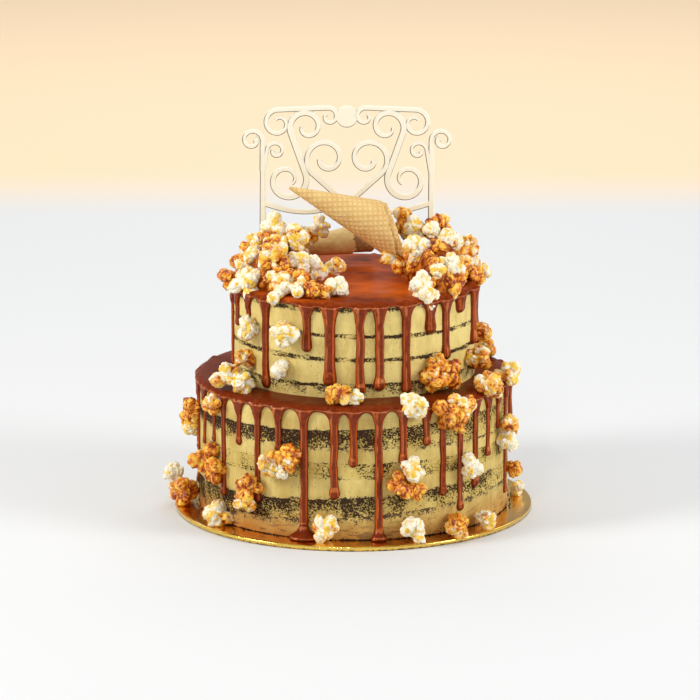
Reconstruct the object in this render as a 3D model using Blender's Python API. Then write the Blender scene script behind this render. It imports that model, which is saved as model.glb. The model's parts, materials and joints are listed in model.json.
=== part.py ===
"""Two-tier drip cake on its board, with caramel popcorn, two wafer cones and a filigree topper.

All sizes below are millimetres. The origin is the middle of the board's underside, +Z is up and -Y is
the front. Azimuths are degrees from the front (-Y) towards +X.
"""

import math
import random

import bmesh
import bpy
from mathutils import Matrix, Vector

MM = 0.001
GAP = 0.3  # clearance left between pieces that touch

# board and tiers
BOARD_RADIUS = 133.5
BOARD_THICKNESS = 3.2
BOARD_CHAMFER = 0.8
LOWER_RADIUS = 115.5
UPPER_RADIUS = 90.0
LOWER_TOP = 101.0
UPPER_TOP = 172.0
ROUND_SIDES = 30  # of the board, the layers and the caramel's rings, so that they nest

# (kind, height of the layer's top above the floor, how much it climbs per mm towards +X)
LOWER_LAYERS = [
    ("cream", 20.5, 0.065),
    ("sponge", 34.5, 0.055),
    ("cream", 49.0, 0.0),
    ("sponge", 60.0, 0.0),
    ("cream", 71.5, -0.02),
    ("sponge", 85.0, 0.03),
    ("cream", LOWER_TOP, 0.0),
]
UPPER_LAYERS = [
    ("cream", 110.6, 0.0),
    ("sponge", 113.0, 0.0),
    ("cream", 129.8, -0.02),
    ("sponge", 132.2, -0.02),
    ("cream", 147.4, -0.03),
    ("sponge", 149.4, -0.03),
    ("cream", 166.8, 0.0),
    ("sponge", 169.0, 0.0),
    ("cream", UPPER_TOP, 0.0),
]

# caramel: a pool on each tier, a rounded lip over its rim, and drips down its side
POOL = 2.0
LIP_OUT = 2.8
LIP_DROP = 6.5
LIP_WAVE = 1.3
DRIP_DEPTH = 0.46  # of a drip's width
# (azimuth, width, height of the drip's tip above the floor)
UPPER_DRIPS = [
    (-79, 4.5, 110), (-70, 4.5, 143), (-58, 4.2, 153), (-45, 6.4, 104), (-22, 6.3, 135),
    (-11, 8.0, 110), (3, 6.3, 104), (12, 6.7, 107), (25, 6.7, 104), (38, 7.4, 146),
    (48, 6.7, 124), (59, 7.4, 156), (76, 7.4, 127),
]
LOWER_DRIPS = [
    (-81, 4.4, 46), (-71, 3.8, 55), (-62, 3.8, 61), (-55, 4.8, 23), (-46, 4.6, 65),
    (-37, 5.2, 25), (-28, 5.2, 64), (-18, 6.0, 3.6), (-7, 6.0, 33), (0, 5.5, 57),
    (9, 6.0, 3.6), (18, 5.5, 58), (27, 5.2, 70), (34, 5.2, 31), (42, 5.0, 17),
    (50, 5.2, 32), (58, 4.4, 52), (66, 4.2, 69), (75, 4.6, 15.5),
]
REAR_START, REAR_END = 90, 270
UPPER_REAR_STEP, LOWER_REAR_STEP = 20.0, 17.0
UPPER_REAR_TIPS = (104, 112, 124, 133, 146, 152)
LOWER_REAR_TIPS = (12, 20, 34, 46, 58, 66)
REAR_SEED = 11
PUDDLES = {-18: (22.0, 9.0), 9: (12.5, 6.5)}  # width and reach of each puddle
PUDDLE_HEIGHT = 2.2
PUDDLE_SIDES = 10

# wafer cones: points on the axis, then radii, all from the photo's outlines
CONE_SIDES = 12
CONE_WALL = 1.8
CONE_RECESS = 4.0
CONE_STEP = 1.0  # how far the inner turn of the wafer lies inside the outer turn
LONG_CONE = dict(tip=(-47.2, -5.6, 242.0), aim=(34.5, 5.6, 206.6), tip_radius=1.0, taper=0.225,
                 outer_end=79.5, inner_end=85.5, outer_lean=0.8, inner_lean=0.85)
SHORT_CONE = dict(tip=(-56.5, 32.0, 187.0), aim=(-6.4, 58.0, 189.4), tip_radius=4.8, taper=0.095,
                  outer_end=59.5, inner_end=76.0, outer_lean=0.1, inner_lean=0.1)

# topper: a flat filigree sheet on two stakes, drawn as strokes to the right of its middle and mirrored
TOPPER_MIDDLE = (-4.9, 31.0)  # x and y
TOPPER_FOOT = 214.0           # height of the filigree's lower edge
TOPPER_THICKNESS = 3.0
STAKE_OFFSET = 62.8
STAKE_WIDTH = 6.0
STAKE_BOTTOM = 138.0
STAKE_HEIGHT = 262.0
THIN, THICK = 2.4, 4.6
SWAG_HEIGHT, SWAG_SAG = 10.0, 7.0
CURL_EYE = 0.3    # a curl's inner radius, of its outer one
CURL_STEP = 43.0  # degrees between the points of a curl
BEAD_RADIUS = 8.0
BEAD_SIDES = 12
STROKE_STEP = 0.06  # each stroke is this much thinner than the last, so that no faces coincide

# popcorn: (where it sits, azimuth, height or distance from the axis, size)
#   "upper" and "lower" lean on a tier's side at a height, "ledge" and "board" stand at a distance from
#   the axis, and "free" gives distance and height together.
CLUSTERS = {
    "popcorn_upper_1": [("upper", -53, 148, 16)],
    "popcorn_upper_2": [("upper", -31, 151, 19)],
    "popcorn_upper_3": [("upper", -56, 123, 14)],
    "popcorn_upper_4": [("upper", -34, 122, 13.5)],
    "popcorn_upper_5": [("upper", 36, 113, 19), ("upper", 46, 117, 19), ("upper", 40, 125, 15)],
    "popcorn_upper_6": [("upper", 88, 132, 16)],
    "popcorn_upper_7": [("upper", 70, 122, 17), ("upper", 76, 114, 14)],
    "popcorn_ledge_1": [("ledge", -56.5, 110, 19.5), ("ledge", -49.5, 107, 17)],
    "popcorn_ledge_2": [("ledge", -6.5, 108, 19), ("ledge", 0, 109, 12)],
    "popcorn_rim_1": [("free", 22, (119, 104), 21)],
    "popcorn_rim_2": [("free", 34, (121, 94), 19), ("free", 41, (121, 99), 20),
                      ("free", 38, (123, 87), 15)],
    "popcorn_rim_3": [("free", 57, (117, 107), 21)],
    "popcorn_rim_4": [("free", 75, (118, 107), 19)],
    "popcorn_rim_5": [("lower", -57, 92, 15)],
    "popcorn_lower_1": [("lower", 68, 72, 16), ("lower", 67, 60, 16)],
    "popcorn_lower_2": [("lower", 79, 33, 13)],
    "popcorn_lower_3": [("lower", 44, 52, 17)],
    "popcorn_lower_4": [("lower", 21, 56, 17), ("lower", 16, 46, 18), ("lower", 21, 40, 15)],
    "popcorn_lower_5": [("lower", -30, 59, 19), ("lower", -23, 64, 18), ("lower", -25, 54, 13)],
    "popcorn_lower_6": [("lower", -38, 38, 18), ("lower", -39, 27, 18)],
    "popcorn_lower_7": [("lower", -62, 51, 20), ("lower", -57, 43, 18)],
    "popcorn_lower_8": [("lower", -83, 76, 17), ("lower", -84, 64, 15)],
    "popcorn_board_1": [("board", -54, 122, 20)],
    "popcorn_board_2": [("board", -83, 127, 20), ("board", -89.5, 129, 18), ("free", -91, (135, 21), 16)],
    "popcorn_board_3": [("board", -9, 120, 19)],
    "popcorn_board_4": [("board", 20, 126, 19)],
    "popcorn_board_5": [("board", 36, 127, 20)],
    "popcorn_board_6": [("board", 49, 127, 15)],
    "popcorn_board_7": [("board", 96, 124, 12)],
    "popcorn_rear_1": [("ledge", 112, 108, 18), ("ledge", 119, 108, 17)],
    "popcorn_rear_2": [("ledge", 150, 106, 19), ("ledge", 158, 106, 17), ("upper", 154, 121, 17)],
    "popcorn_rear_3": [("upper", 195, 132, 17)],
    "popcorn_rear_4": [("ledge", 214, 107, 20), ("ledge", 222, 108, 16)],
    "popcorn_rear_5": [("lower", 128, 66, 18), ("lower", 123, 59, 17)],
    "popcorn_rear_6": [("board", 150, 126, 19), ("board", 157, 125, 16)],
    "popcorn_rear_7": [("lower", 207, 45, 18), ("lower", 202, 36, 19), ("lower", 207, 28, 15)],
}
# the two heaps on top: (x, y, height, size) of each kernel round a smaller core
LEFT_CORE = dict(middle=(-58, -4, 172), reach=(22, 50, 32))
LEFT_HEAP = [
    (-58, 9, 211, 20), (-61, -9, 204, 12), (-43, -16, 205, 20), (-25, 20, 208, 17), (-36, 21, 200, 18),
    (-45, 17, 195, 20), (-72, -18, 192, 16), (-59, -40, 196, 21), (-78, -40, 178, 26), (-90, -11, 176, 19),
    (-79, -12, 185, 18), (-41, -38, 193, 17), (-44, -36, 183, 19), (-31, -22, 186, 23), (-14, -19, 184, 17),
    (-56, -45, 181, 20), (-52, -58, 179, 19), (-39, -56, 182, 18), (-54, -69, 176, 19), (-39, -71, 180, 17),
    (-30, -74, 180, 15), (-21, -73, 178, 13), (-12, -71, 181, 17), (-75, 9, 184, 21), (-82, 22, 181, 18),
    (-56, -24, 200, 18), (-45, 2, 198, 20), (-69, 46, 183, 19), (-54, 50, 182, 20), (-72, 28, 191, 19),
    (-56, 30, 198, 19), (-40, 34, 184, 18), (-70, 0, 198, 18), (-38, -8, 186, 17),
]
RIGHT_CORE = dict(middle=(61, -10, 172), reach=(20, 50, 34))
RIGHT_HEAP = [
    (36, 20, 214, 17), (45, 9, 209, 17), (51, 9, 198, 20), (63, 11, 209, 19), (66, 14, 215, 11),
    (46, -24, 199, 21), (68, -9, 202, 19), (83, 9, 195, 18), (78, 0, 189, 18), (31, -9, 188, 21),
    (43, -12, 182, 18), (68, -36, 191, 26), (50, -49, 178, 19), (49, -61, 183, 19), (52, -71, 173, 20),
    (74, -47, 176, 21), (89, -11, 174, 20), (96, -2, 178, 12), (42, 22, 202, 19), (36, 36, 186, 18),
    (52, 38, 184, 20), (66, 38, 184, 20), (74, 30, 192, 18), (83, 22, 182, 20), (63, 25, 197, 18),
    (78, -24, 184, 19), (46, 24, 187, 18), (58, -4, 208, 15),
]
KERNEL_SINK = 0.42   # a leaning kernel's centre stands this much of its size off the side
KERNEL_LOBES = 5
KERNEL_CORNER = 1.1  # a kernel's corners stand this much past its mean radius
KERNEL_SEED = 100

COLOURS = {
    "cream": ((0.66, 0.50, 0.17), 0.55, 0.0),
    "sponge": ((0.07, 0.03, 0.015), 0.8, 0.0),
    "caramel": ((0.16, 0.035, 0.008), 0.12, 0.0),
    "wafer": ((0.62, 0.38, 0.14), 0.7, 0.0),
    "topper": ((0.88, 0.83, 0.70), 0.3, 0.0),
    "popcorn": ((0.75, 0.45, 0.12), 0.45, 0.0),
    "board": ((0.75, 0.55, 0.16), 0.25, 0.9),
}


# ---------------------------------------------------------------- helpers

def clear_scene():
    """Starts from an empty scene."""
    for old in list(bpy.data.objects):
        bpy.data.objects.remove(old, do_unlink=True)


def material(kind):
    found = bpy.data.materials.get(kind)
    if found:
        return found
    colour, roughness, metallic = COLOURS[kind]
    made = bpy.data.materials.new(kind)
    made.use_nodes = True
    shader = made.node_tree.nodes["Principled BSDF"]
    shader.inputs["Base Color"].default_value = (*colour, 1.0)
    shader.inputs["Roughness"].default_value = roughness
    shader.inputs["Metallic"].default_value = metallic
    made.diffuse_color = (*colour, 1.0)
    return made


def finish_mesh(name, bm, kind):
    """Turns a bmesh in millimetres into an object in metres."""
    bmesh.ops.recalc_face_normals(bm, faces=bm.faces)
    bmesh.ops.scale(bm, vec=(MM, MM, MM), verts=bm.verts)
    mesh = bpy.data.meshes.new(name)
    bm.to_mesh(mesh)
    bm.free()
    made = bpy.data.objects.new(name, mesh)
    bpy.context.scene.collection.objects.link(made)
    mesh.materials.append(material(kind))
    return made


def drop(objects):
    for old in objects:
        bpy.data.objects.remove(old, do_unlink=True)


def apply_boolean(target, modifier):
    """Replaces the target's mesh by its evaluated one and takes the modifier off."""
    view = bpy.context.evaluated_depsgraph_get()
    mesh = bpy.data.meshes.new_from_object(target.evaluated_get(view))
    target.modifiers.remove(modifier)
    target.data = mesh


def fuse(target, others):
    """One Boolean union of the target with every object of a collection."""
    if not others:
        return target
    group = bpy.data.collections.new("to_fuse")
    for other in others:
        group.objects.link(other)
    bpy.context.scene.collection.children.link(group)
    union = target.modifiers.new("union", "BOOLEAN")
    union.operation = "UNION"
    union.operand_type = "COLLECTION"
    union.collection = group
    union.solver = "EXACT"
    apply_boolean(target, union)
    drop(others)
    bpy.data.collections.remove(group)
    return target


def carve(target, cutter):
    """Cuts one object out of another."""
    cut = target.modifiers.new("cut", "BOOLEAN")
    cut.operation = "DIFFERENCE"
    cut.object = cutter
    cut.solver = "EXACT"
    apply_boolean(target, cut)
    return target


def islands(bm):
    """The connected groups of faces in a bmesh."""
    left = set(bm.faces)
    groups = []
    while left:
        stack = [left.pop()]
        group = list(stack)
        while stack:
            for edge in stack.pop().edges:
                for face in edge.link_faces:
                    if face in left:
                        left.remove(face)
                        stack.append(face)
                        group.append(face)
        groups.append(group)
    return groups


def keep_outer_body(target):
    """Drops loose scraps and sealed hollows that a Boolean leaves: only the widest body stays."""
    bm = bmesh.new()
    bm.from_mesh(target.data)
    bmesh.ops.remove_doubles(bm, verts=bm.verts, dist=0.01 * MM)
    bmesh.ops.dissolve_degenerate(bm, edges=bm.edges, dist=0.01 * MM)
    bmesh.ops.triangulate(bm, faces=bm.faces)

    def width(group):
        heights = [v.co.z for face in group for v in face.verts]
        sides = [v.co.x for face in group for v in face.verts]
        return max(heights) - min(heights) + max(sides) - min(sides)

    groups = sorted(islands(bm), key=width, reverse=True)
    for group in groups[1:]:
        bmesh.ops.delete(bm, geom=group, context="FACES")
    loose = [v for v in bm.verts if not v.link_faces]
    bmesh.ops.delete(bm, geom=loose, context="VERTS")
    bm.to_mesh(target.data)
    bm.free()
    return target


def polar(azimuth, radius, height):
    """The point at an azimuth, a distance from the axis and a height."""
    angle = math.radians(azimuth)
    return Vector((radius * math.sin(angle), -radius * math.cos(angle), height))


def rings_to_solid(bm, rings, closed=False):
    """Skins rings of equally many points, and caps both ends or joins them into a loop."""
    loops = [[bm.verts.new(point) for point in ring] for ring in rings]
    pairs = list(zip(loops, loops[1:]))
    if closed:
        pairs.append((loops[-1], loops[0]))
    for low, high in pairs:
        for i, vert in enumerate(low):
            after = (i + 1) % len(low)
            bm.faces.new((vert, low[after], high[after], high[i]))
    if not closed:
        bm.faces.new(loops[0])
        bm.faces.new(loops[-1])
    return bm


# ---------------------------------------------------------------- board and tiers

def board():
    """The round cake board with eased edges."""
    chamfer = BOARD_CHAMFER
    profile = [
        (BOARD_RADIUS - chamfer, 0.0),
        (BOARD_RADIUS, chamfer),
        (BOARD_RADIUS, BOARD_THICKNESS - chamfer),
        (BOARD_RADIUS - chamfer, BOARD_THICKNESS),
    ]
    sides = ROUND_SIDES
    rings = [[polar(360 * i / sides, r, z) for i in range(sides)] for r, z in profile]
    finish_mesh("board", rings_to_solid(bmesh.new(), rings), "board")


def disc(name, kind, radius, bottom, top):
    """A layer: bottom and top are (height, climb towards +X)."""
    rings = []
    for (height, climb) in (bottom, top):
        ring = [polar(360 * i / ROUND_SIDES, radius, height) for i in range(ROUND_SIDES)]
        for point in ring:
            point.z += climb * point.x
        rings.append(ring)
    return finish_mesh(name, rings_to_solid(bmesh.new(), rings), kind)


def tier(prefix, radius, floor, layers, cutters):
    """Cream and sponge layers one on the other, each cut by the pockets."""
    bottom = (floor, 0.0)
    counts = {"cream": 0, "sponge": 0}
    for kind, height, climb in layers:
        counts[kind] += 1
        made = disc(f"{prefix}_{kind}_{counts[kind]}", kind, radius, bottom, (height, climb))
        for cutter in cutters:
            carve(made, cutter)
        bottom = (height + GAP, climb)


# ---------------------------------------------------------------- caramel

def rear_drips(step, tips, seed):
    """Drips behind, where the photo doesn't reach, spaced and sized like those in front."""
    draw = random.Random(seed)
    found = []
    azimuth = REAR_START
    while azimuth < REAR_END - 4:
        found.append((azimuth + draw.uniform(-2, 2), draw.uniform(4.4, 7.0), draw.choice(tips)))
        azimuth += step + draw.uniform(-2, 2)
    return found


def drip_object(radius, start, azimuth, width, end, grow):
    """One drip: a rounded finger from inside the lip to a thicker bulb at its tip."""
    stations = [
        (start + 3.0, 1.5, 1.0),
        (start - 4.0, 0.95, 0.9),
        (end + width, 1.1, 1.1),
        (end - grow, 0.5, 0.5),
    ]  # height, and width and depth as parts of the drip's own
    rings = []
    for height, wide, deep in stations:
        half = wide * width / 2 + grow
        out = deep * width * DRIP_DEPTH + grow
        base = radius + GAP - grow
        centre = polar(azimuth, 1.0, 0.0)
        along = Vector((-centre.y, centre.x, 0.0))
        ring = []
        for side, reach in ((-half, 0.0), (-0.55 * half, out), (0.55 * half, out), (half, 0.0)):
            point = centre * (base + reach + side * side / (2 * base)) + along * side
            point.z = height
            ring.append(point)
        rings.append(ring)
    return finish_mesh("drip", rings_to_solid(bmesh.new(), rings), "caramel")


def puddle_object(radius, azimuth, width, reach, grow):
    """Where a drip meets the board: a flat lobe in front of the tier's foot."""
    centre = polar(azimuth, 1.0, 0.0)
    along = Vector((-centre.y, centre.x, 0.0))
    base = BOARD_THICKNESS + GAP - grow
    reach = reach / 2
    top = base + PUDDLE_HEIGHT + grow
    rings = []
    for height, part in ((base, 1.0), (base + 0.5 * PUDDLE_HEIGHT, 0.95), (top, 0.5)):
        ring = []
        for i in range(PUDDLE_SIDES):
            angle = math.tau * i / PUDDLE_SIDES
            out = radius + GAP + reach + (reach * part + grow) * math.cos(angle)
            side = (width / 2 * part + grow) * math.sin(angle)
            point = centre * out + along * side
            point.z = height
            ring.append(point)
        rings.append(ring)
    return finish_mesh("puddle", rings_to_solid(bmesh.new(), rings), "caramel")


def lip_low(top, azimuth, phase):
    """The wavy lower edge of a lip."""
    angle = math.radians(azimuth)
    wave = math.sin(7 * angle + phase) + 0.6 * math.sin(11 * angle + 2 * phase)
    return top - LIP_DROP + LIP_WAVE * wave


def caramel(name, radius, top, inner, drips, grow=0.0):
    """Pool, lip and drips as one solid. Grown, it is the space that other pieces keep clear of."""
    base = top + GAP - grow
    side = radius + GAP - grow
    phase = radius / 10
    rings = []
    for i in range(ROUND_SIDES):
        azimuth = 360 * i / ROUND_SIDES
        low = lip_low(top, azimuth, phase)
        profile = [
            (inner, base),
            (inner, top + POOL + grow),
            (radius + 1.0, top + 0.8 * POOL + grow),
            (radius + LIP_OUT + grow, top - 1.5),
            (radius + 0.8 * LIP_OUT + grow, low + 1.0),
            (side, low - grow),
            (side, base),
        ]
        rings.append([polar(azimuth, r, z) for r, z in profile])
    if inner > 0:
        bm = rings_to_solid(bmesh.new(), rings, closed=True)
    else:
        bm = filled_pool(rings)
    pool = finish_mesh(name, bm, "caramel")
    start = top - LIP_DROP + 2.0
    pieces = [drip_object(radius, start, *drip, grow) for drip in drips]
    for azimuth, _, end in drips:
        if end < BOARD_THICKNESS + 1:
            pieces.append(puddle_object(radius, azimuth, *PUDDLES[azimuth], grow))
    return keep_outer_body(fuse(pool, pieces))


def filled_pool(rings):
    """A pool without a hole: the rings' outer points, with a flat face over and under the middle."""
    bm = bmesh.new()
    columns = [[bm.verts.new(point) for point in ring[2:]] for ring in rings]
    for i, column in enumerate(columns):
        after = columns[(i + 1) % len(columns)]
        for k in range(len(column) - 1):
            bm.faces.new((column[k], column[k + 1], after[k + 1], after[k]))
    bm.faces.new([column[0] for column in columns])
    bm.faces.new([column[-1] for column in columns])
    return bm


# ---------------------------------------------------------------- wafer cones

def wafer_cone(name, tip, aim, tip_radius, taper, outer_end, inner_end, outer_lean, inner_lean,
               grow=0.0):
    """A rolled wafer cone: the outer turn ends in a slanted step, and the inner turn runs on past it."""
    start = Vector(tip)
    along = (Vector(aim) - start).normalized()
    across = along.cross(Vector((0, 0, 1))).normalized()
    down = along.cross(across).normalized()
    if down.z > 0:
        down.negate()

    def ring(distance, lean, inset):
        """Where a plane cuts the cone: it crosses the axis at the distance and leans out at the bottom."""
        points = []
        narrow = tip_radius - inset + grow
        for i in range(CONE_SIDES):
            angle = math.tau * i / CONE_SIDES
            rise = lean * math.cos(angle)
            s = (distance + rise * narrow) / (1.0 - rise * taper)
            radius = narrow + taper * s
            spoke = down * math.cos(angle) + across * math.sin(angle)
            points.append(start + along * s + radius * spoke)
        return points

    rings = [
        ring(-0.5 - grow, 0.0, 0.4),
        ring(0.5, 0.0, 0.0),
        ring(outer_end + grow, outer_lean, 0.0),
        ring(outer_end + grow, outer_lean, CONE_STEP),
        ring(inner_end + grow, inner_lean, CONE_STEP),
    ]
    if not grow:
        rings.append(ring(inner_end, inner_lean, CONE_STEP + CONE_WALL))
        rings.append(ring(inner_end - CONE_RECESS, inner_lean, CONE_STEP + CONE_WALL))
    return finish_mesh(name, rings_to_solid(bmesh.new(), rings), "wafer")


# ---------------------------------------------------------------- topper

def curl(middle, outer, start, sweep, turn):
    """Points from the outside of a curl to its eye. Angles are degrees and turn is 1 or -1."""
    inner = CURL_EYE * outer
    steps = max(3, round(sweep / CURL_STEP))
    points = []
    for i in range(1, steps + 1):
        part = i / steps
        angle = math.radians(start + turn * sweep * part)
        radius = outer + (inner - outer) * part ** 1.3
        points.append((middle[0] + radius * math.cos(angle), middle[1] + radius * math.sin(angle)))
    return points


def scroll(first, second):
    """A stroke between two curls, straight along their common tangent.

    Each end is (middle, radius, turn, sweep), with a radius of 0 for a plain end. Turn is the way round
    the stroke runs at that end, 1 for anticlockwise, on its way from the first end to the second.
    """
    (a, radius_a, turn_a, sweep_a), (b, radius_b, turn_b, sweep_b) = first, second
    run = Vector((b[0] - a[0], b[1] - a[1]))
    lean = math.asin((turn_a * radius_a - turn_b * radius_b) / run.length)
    heading = math.atan2(run.y, run.x) + lean
    side = (math.sin(heading), -math.cos(heading))
    leave = (a[0] + turn_a * radius_a * side[0], a[1] + turn_a * radius_a * side[1])
    meet = (b[0] + turn_b * radius_b * side[0], b[1] + turn_b * radius_b * side[1])
    points = [leave, meet]
    if radius_a:
        start = math.degrees(math.atan2(turn_a * side[1], turn_a * side[0]))
        points = curl(a, radius_a, start, sweep_a, -turn_a)[::-1] + points
    if radius_b:
        start = math.degrees(math.atan2(turn_b * side[1], turn_b * side[0]))
        points = points + curl(b, radius_b, start, sweep_b, turn_b)
    return points


def plain(x, z):
    """An end of a scroll that doesn't curl."""
    return ((x, z), 0.0, 0, 0.0)


def filigree():
    """The strokes right of the middle: (points, width at the ends, width in between)."""
    stops = (-2, 10, 21, 31.4, 42, 53, 62)
    dip = [(x, SWAG_HEIGHT - SWAG_SAG * math.sin(math.pi * x / STAKE_OFFSET)) for x in stops]
    return [
        (scroll(plain(0, 9), ((15.5, 43), 15.0, 1, 400)), THICK, THICK - 0.8),
        (scroll(((30, 67), 12.5, -1, 380), ((44.5, 27), 14.5, 1, 420)), THIN, THICK + 0.4),
        (scroll(plain(STAKE_OFFSET, 34), ((70.5, 57), 7.7, -1, 400)), THICK, THICK - 1.4),
        (scroll(((13.5, 75), 6.5, -1, 330), ((51, 70), 10.0, -1, 400)), THIN, THICK - 0.8),
        (scroll(plain(STAKE_OFFSET, 30), ((53, 49), 6.5, 1, 360)), THICK - 0.8, THIN + 0.4),
        (dip, THICK, THICK - 0.8),
    ]


def stroke_object(points, end_width, mid_width, thickness):
    """A flat band of varying width along the points, standing in the topper's plane."""
    count = len(points)
    left, right = [], []
    for i, point in enumerate(points):
        before = points[max(i - 1, 0)]
        after = points[min(i + 1, count - 1)]
        run = Vector((after[0] - before[0], after[1] - before[1])).normalized()
        part = math.sin(math.pi * i / (count - 1))
        half = (end_width + (mid_width - end_width) * part) / 2
        left.append((point[0] - run.y * half, point[1] + run.x * half))
        right.append((point[0] + run.y * half, point[1] - run.x * half))
    x0, y0 = TOPPER_MIDDLE
    rings = []
    for a, b in zip(left, right):
        near, far = y0 - thickness / 2, y0 + thickness / 2
        rings.append([
            Vector((x0 + a[0], near, TOPPER_FOOT + a[1])),
            Vector((x0 + b[0], near, TOPPER_FOOT + b[1])),
            Vector((x0 + b[0], far, TOPPER_FOOT + b[1])),
            Vector((x0 + a[0], far, TOPPER_FOOT + a[1])),
        ])
    return finish_mesh("stroke", rings_to_solid(bmesh.new(), rings), "topper")


def bead_object(middle, radius, thickness):
    """A round bead in the topper's plane, which joins the two mirrored halves."""
    x0, y0 = TOPPER_MIDDLE
    rings = []
    for y in (y0 - thickness / 2, y0 + thickness / 2):
        ring = []
        for i in range(BEAD_SIDES):
            angle = math.tau * i / BEAD_SIDES
            x = x0 + middle[0] + radius * math.cos(angle)
            ring.append(Vector((x, y, TOPPER_FOOT + middle[1] + radius * math.sin(angle))))
        rings.append(ring)
    return finish_mesh("bead", rings_to_solid(bmesh.new(), rings), "topper")


def stake_object(side, grow=0.0):
    """One stake, pointed at its foot. Grown, it is the pocket it stands in."""
    x0, y0 = TOPPER_MIDDLE
    middle = x0 + side * STAKE_OFFSET
    half, deep = STAKE_WIDTH / 2 + grow, TOPPER_THICKNESS / 2 + grow
    rings = []
    for height, part in ((STAKE_BOTTOM - grow, 0.35), (STAKE_BOTTOM + 8, 1.0), (STAKE_HEIGHT, 1.0)):
        wide = half * part
        rings.append([
            Vector((middle - wide, y0 - deep, height)),
            Vector((middle + wide, y0 - deep, height)),
            Vector((middle + wide, y0 + deep, height)),
            Vector((middle - wide, y0 + deep, height)),
        ])
    return finish_mesh("stake", rings_to_solid(bmesh.new(), rings), "topper")


def topper():
    """Both halves of the filigree, its beads and its stakes as one solid."""
    pieces = []
    for side in (1, -1):
        for points, end_width, mid_width in filigree():
            thinner = TOPPER_THICKNESS - STROKE_STEP * (len(pieces) + 1)
            turned = [(side * x, z) for x, z in points]
            pieces.append(stroke_object(turned, end_width, mid_width, thinner))
    last = TOPPER_THICKNESS - STROKE_STEP * (len(pieces) + 1)
    pieces.append(bead_object((0, 75), BEAD_RADIUS, last))
    pieces.append(bead_object((0, 9), 0.8 * BEAD_RADIUS, last - STROKE_STEP))
    pieces.append(stake_object(-1))
    whole = stake_object(1)
    whole.name = "topper"
    keep_outer_body(fuse(whole, pieces))


# ---------------------------------------------------------------- popcorn

def kernel_object(centre, size, seed):
    """One popped kernel: a coarse ball with a few lobes, turned at random by its seed."""
    draw = random.Random(seed)
    ways = [Vector([draw.gauss(0, 1) for _ in range(3)]).normalized() for _ in range(KERNEL_LOBES + 1)]
    lobes, axis = ways[:-1], ways[-1]
    turn = Matrix.Rotation(draw.uniform(0, math.tau), 3, axis)
    squash = Vector((draw.uniform(0.9, 1.0), draw.uniform(0.86, 1.0), draw.uniform(0.82, 1.0)))
    bm = bmesh.new()
    bmesh.ops.create_icosphere(bm, subdivisions=1, radius=1.0)
    for vert in bm.verts:
        way = vert.co.normalized()
        bump = max(max(way.dot(lobe), 0.0) ** 3 for lobe in lobes)
        radius = 0.5 * size * (KERNEL_CORNER + 0.16 * bump + draw.uniform(-0.04, 0.04))
        vert.co = Vector(centre) + turn @ Vector([way[k] * squash[k] * radius for k in range(3)])
    return finish_mesh("kernel", bm, "popcorn")


def core_object(middle, reach):
    """The bare core of a heap: a mound cut off just above the pool by the clearance space."""
    bm = bmesh.new()
    bmesh.ops.create_uvsphere(bm, u_segments=10, v_segments=6, radius=1.0)
    for vert in bm.verts:
        vert.co = Vector([middle[k] + vert.co[k] * reach[k] for k in range(3)])
    return finish_mesh("core", bm, "popcorn")


def kernel_centre(seat, azimuth, place, size):
    """Where a kernel's middle lies, from what it leans on or stands on."""
    if seat == "upper":
        return polar(azimuth, UPPER_RADIUS + KERNEL_SINK * size, place)
    if seat == "lower":
        return polar(azimuth, LOWER_RADIUS + KERNEL_SINK * size, place)
    if seat == "ledge":
        return polar(azimuth, place, LOWER_TOP + POOL + KERNEL_SINK * size)
    if seat == "board":
        return polar(azimuth, place, BOARD_THICKNESS + KERNEL_SINK * size)
    return polar(azimuth, place[0], place[1])


def clearance_space(upper_drips, lower_drips):
    """Everything that popcorn rests on or leans against, grown by the gap."""
    floor_top = BOARD_THICKNESS + GAP
    pieces = [
        disc("space", "board", BOARD_RADIUS + GAP, (-5.0, 0.0), (floor_top, 0.0)),
        disc("space", "cream", LOWER_RADIUS + GAP, (1.0, 0.0), (LOWER_TOP + 1.0, 0.0)),
        disc("space", "cream", UPPER_RADIUS + GAP, (LOWER_TOP - 9.0, 0.0), (UPPER_TOP + 1.0, 0.0)),
        caramel("space", LOWER_RADIUS, LOWER_TOP, UPPER_RADIUS - 5.0, lower_drips, GAP),
        caramel("space", UPPER_RADIUS, UPPER_TOP, 0.0, upper_drips, GAP),
        wafer_cone("space", **LONG_CONE, grow=GAP),
        wafer_cone("space", **SHORT_CONE, grow=GAP),
        stake_object(-1, GAP),
    ]
    space = stake_object(1, GAP)
    fuse(space, pieces)
    space.name = "clearance"
    space.hide_render = True
    space.display_type = "WIRE"
    return space


def popcorn(space):
    """Every cluster and both heaps, cut clear of what they rest on."""
    seed = KERNEL_SEED
    for name, kernels in CLUSTERS.items():
        made = []
        for seat, azimuth, place, size in kernels:
            seed += 1
            made.append(kernel_object(kernel_centre(seat, azimuth, place, size), size, seed))
        first = made.pop(0)
        first.name = name
        fuse(first, made)
        carve(first, space)
        keep_outer_body(first)
    for name, core, heap in (("popcorn_heap_left", LEFT_CORE, LEFT_HEAP),
                             ("popcorn_heap_right", RIGHT_CORE, RIGHT_HEAP)):
        made = []
        for x, y, height, size in heap:
            seed += 1
            made.append(kernel_object((x, y, height), size, seed))
        whole = core_object(**core)
        whole.name = name
        fuse(whole, made)
        carve(whole, space)
        keep_outer_body(whole)


# ---------------------------------------------------------------- the whole

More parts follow.
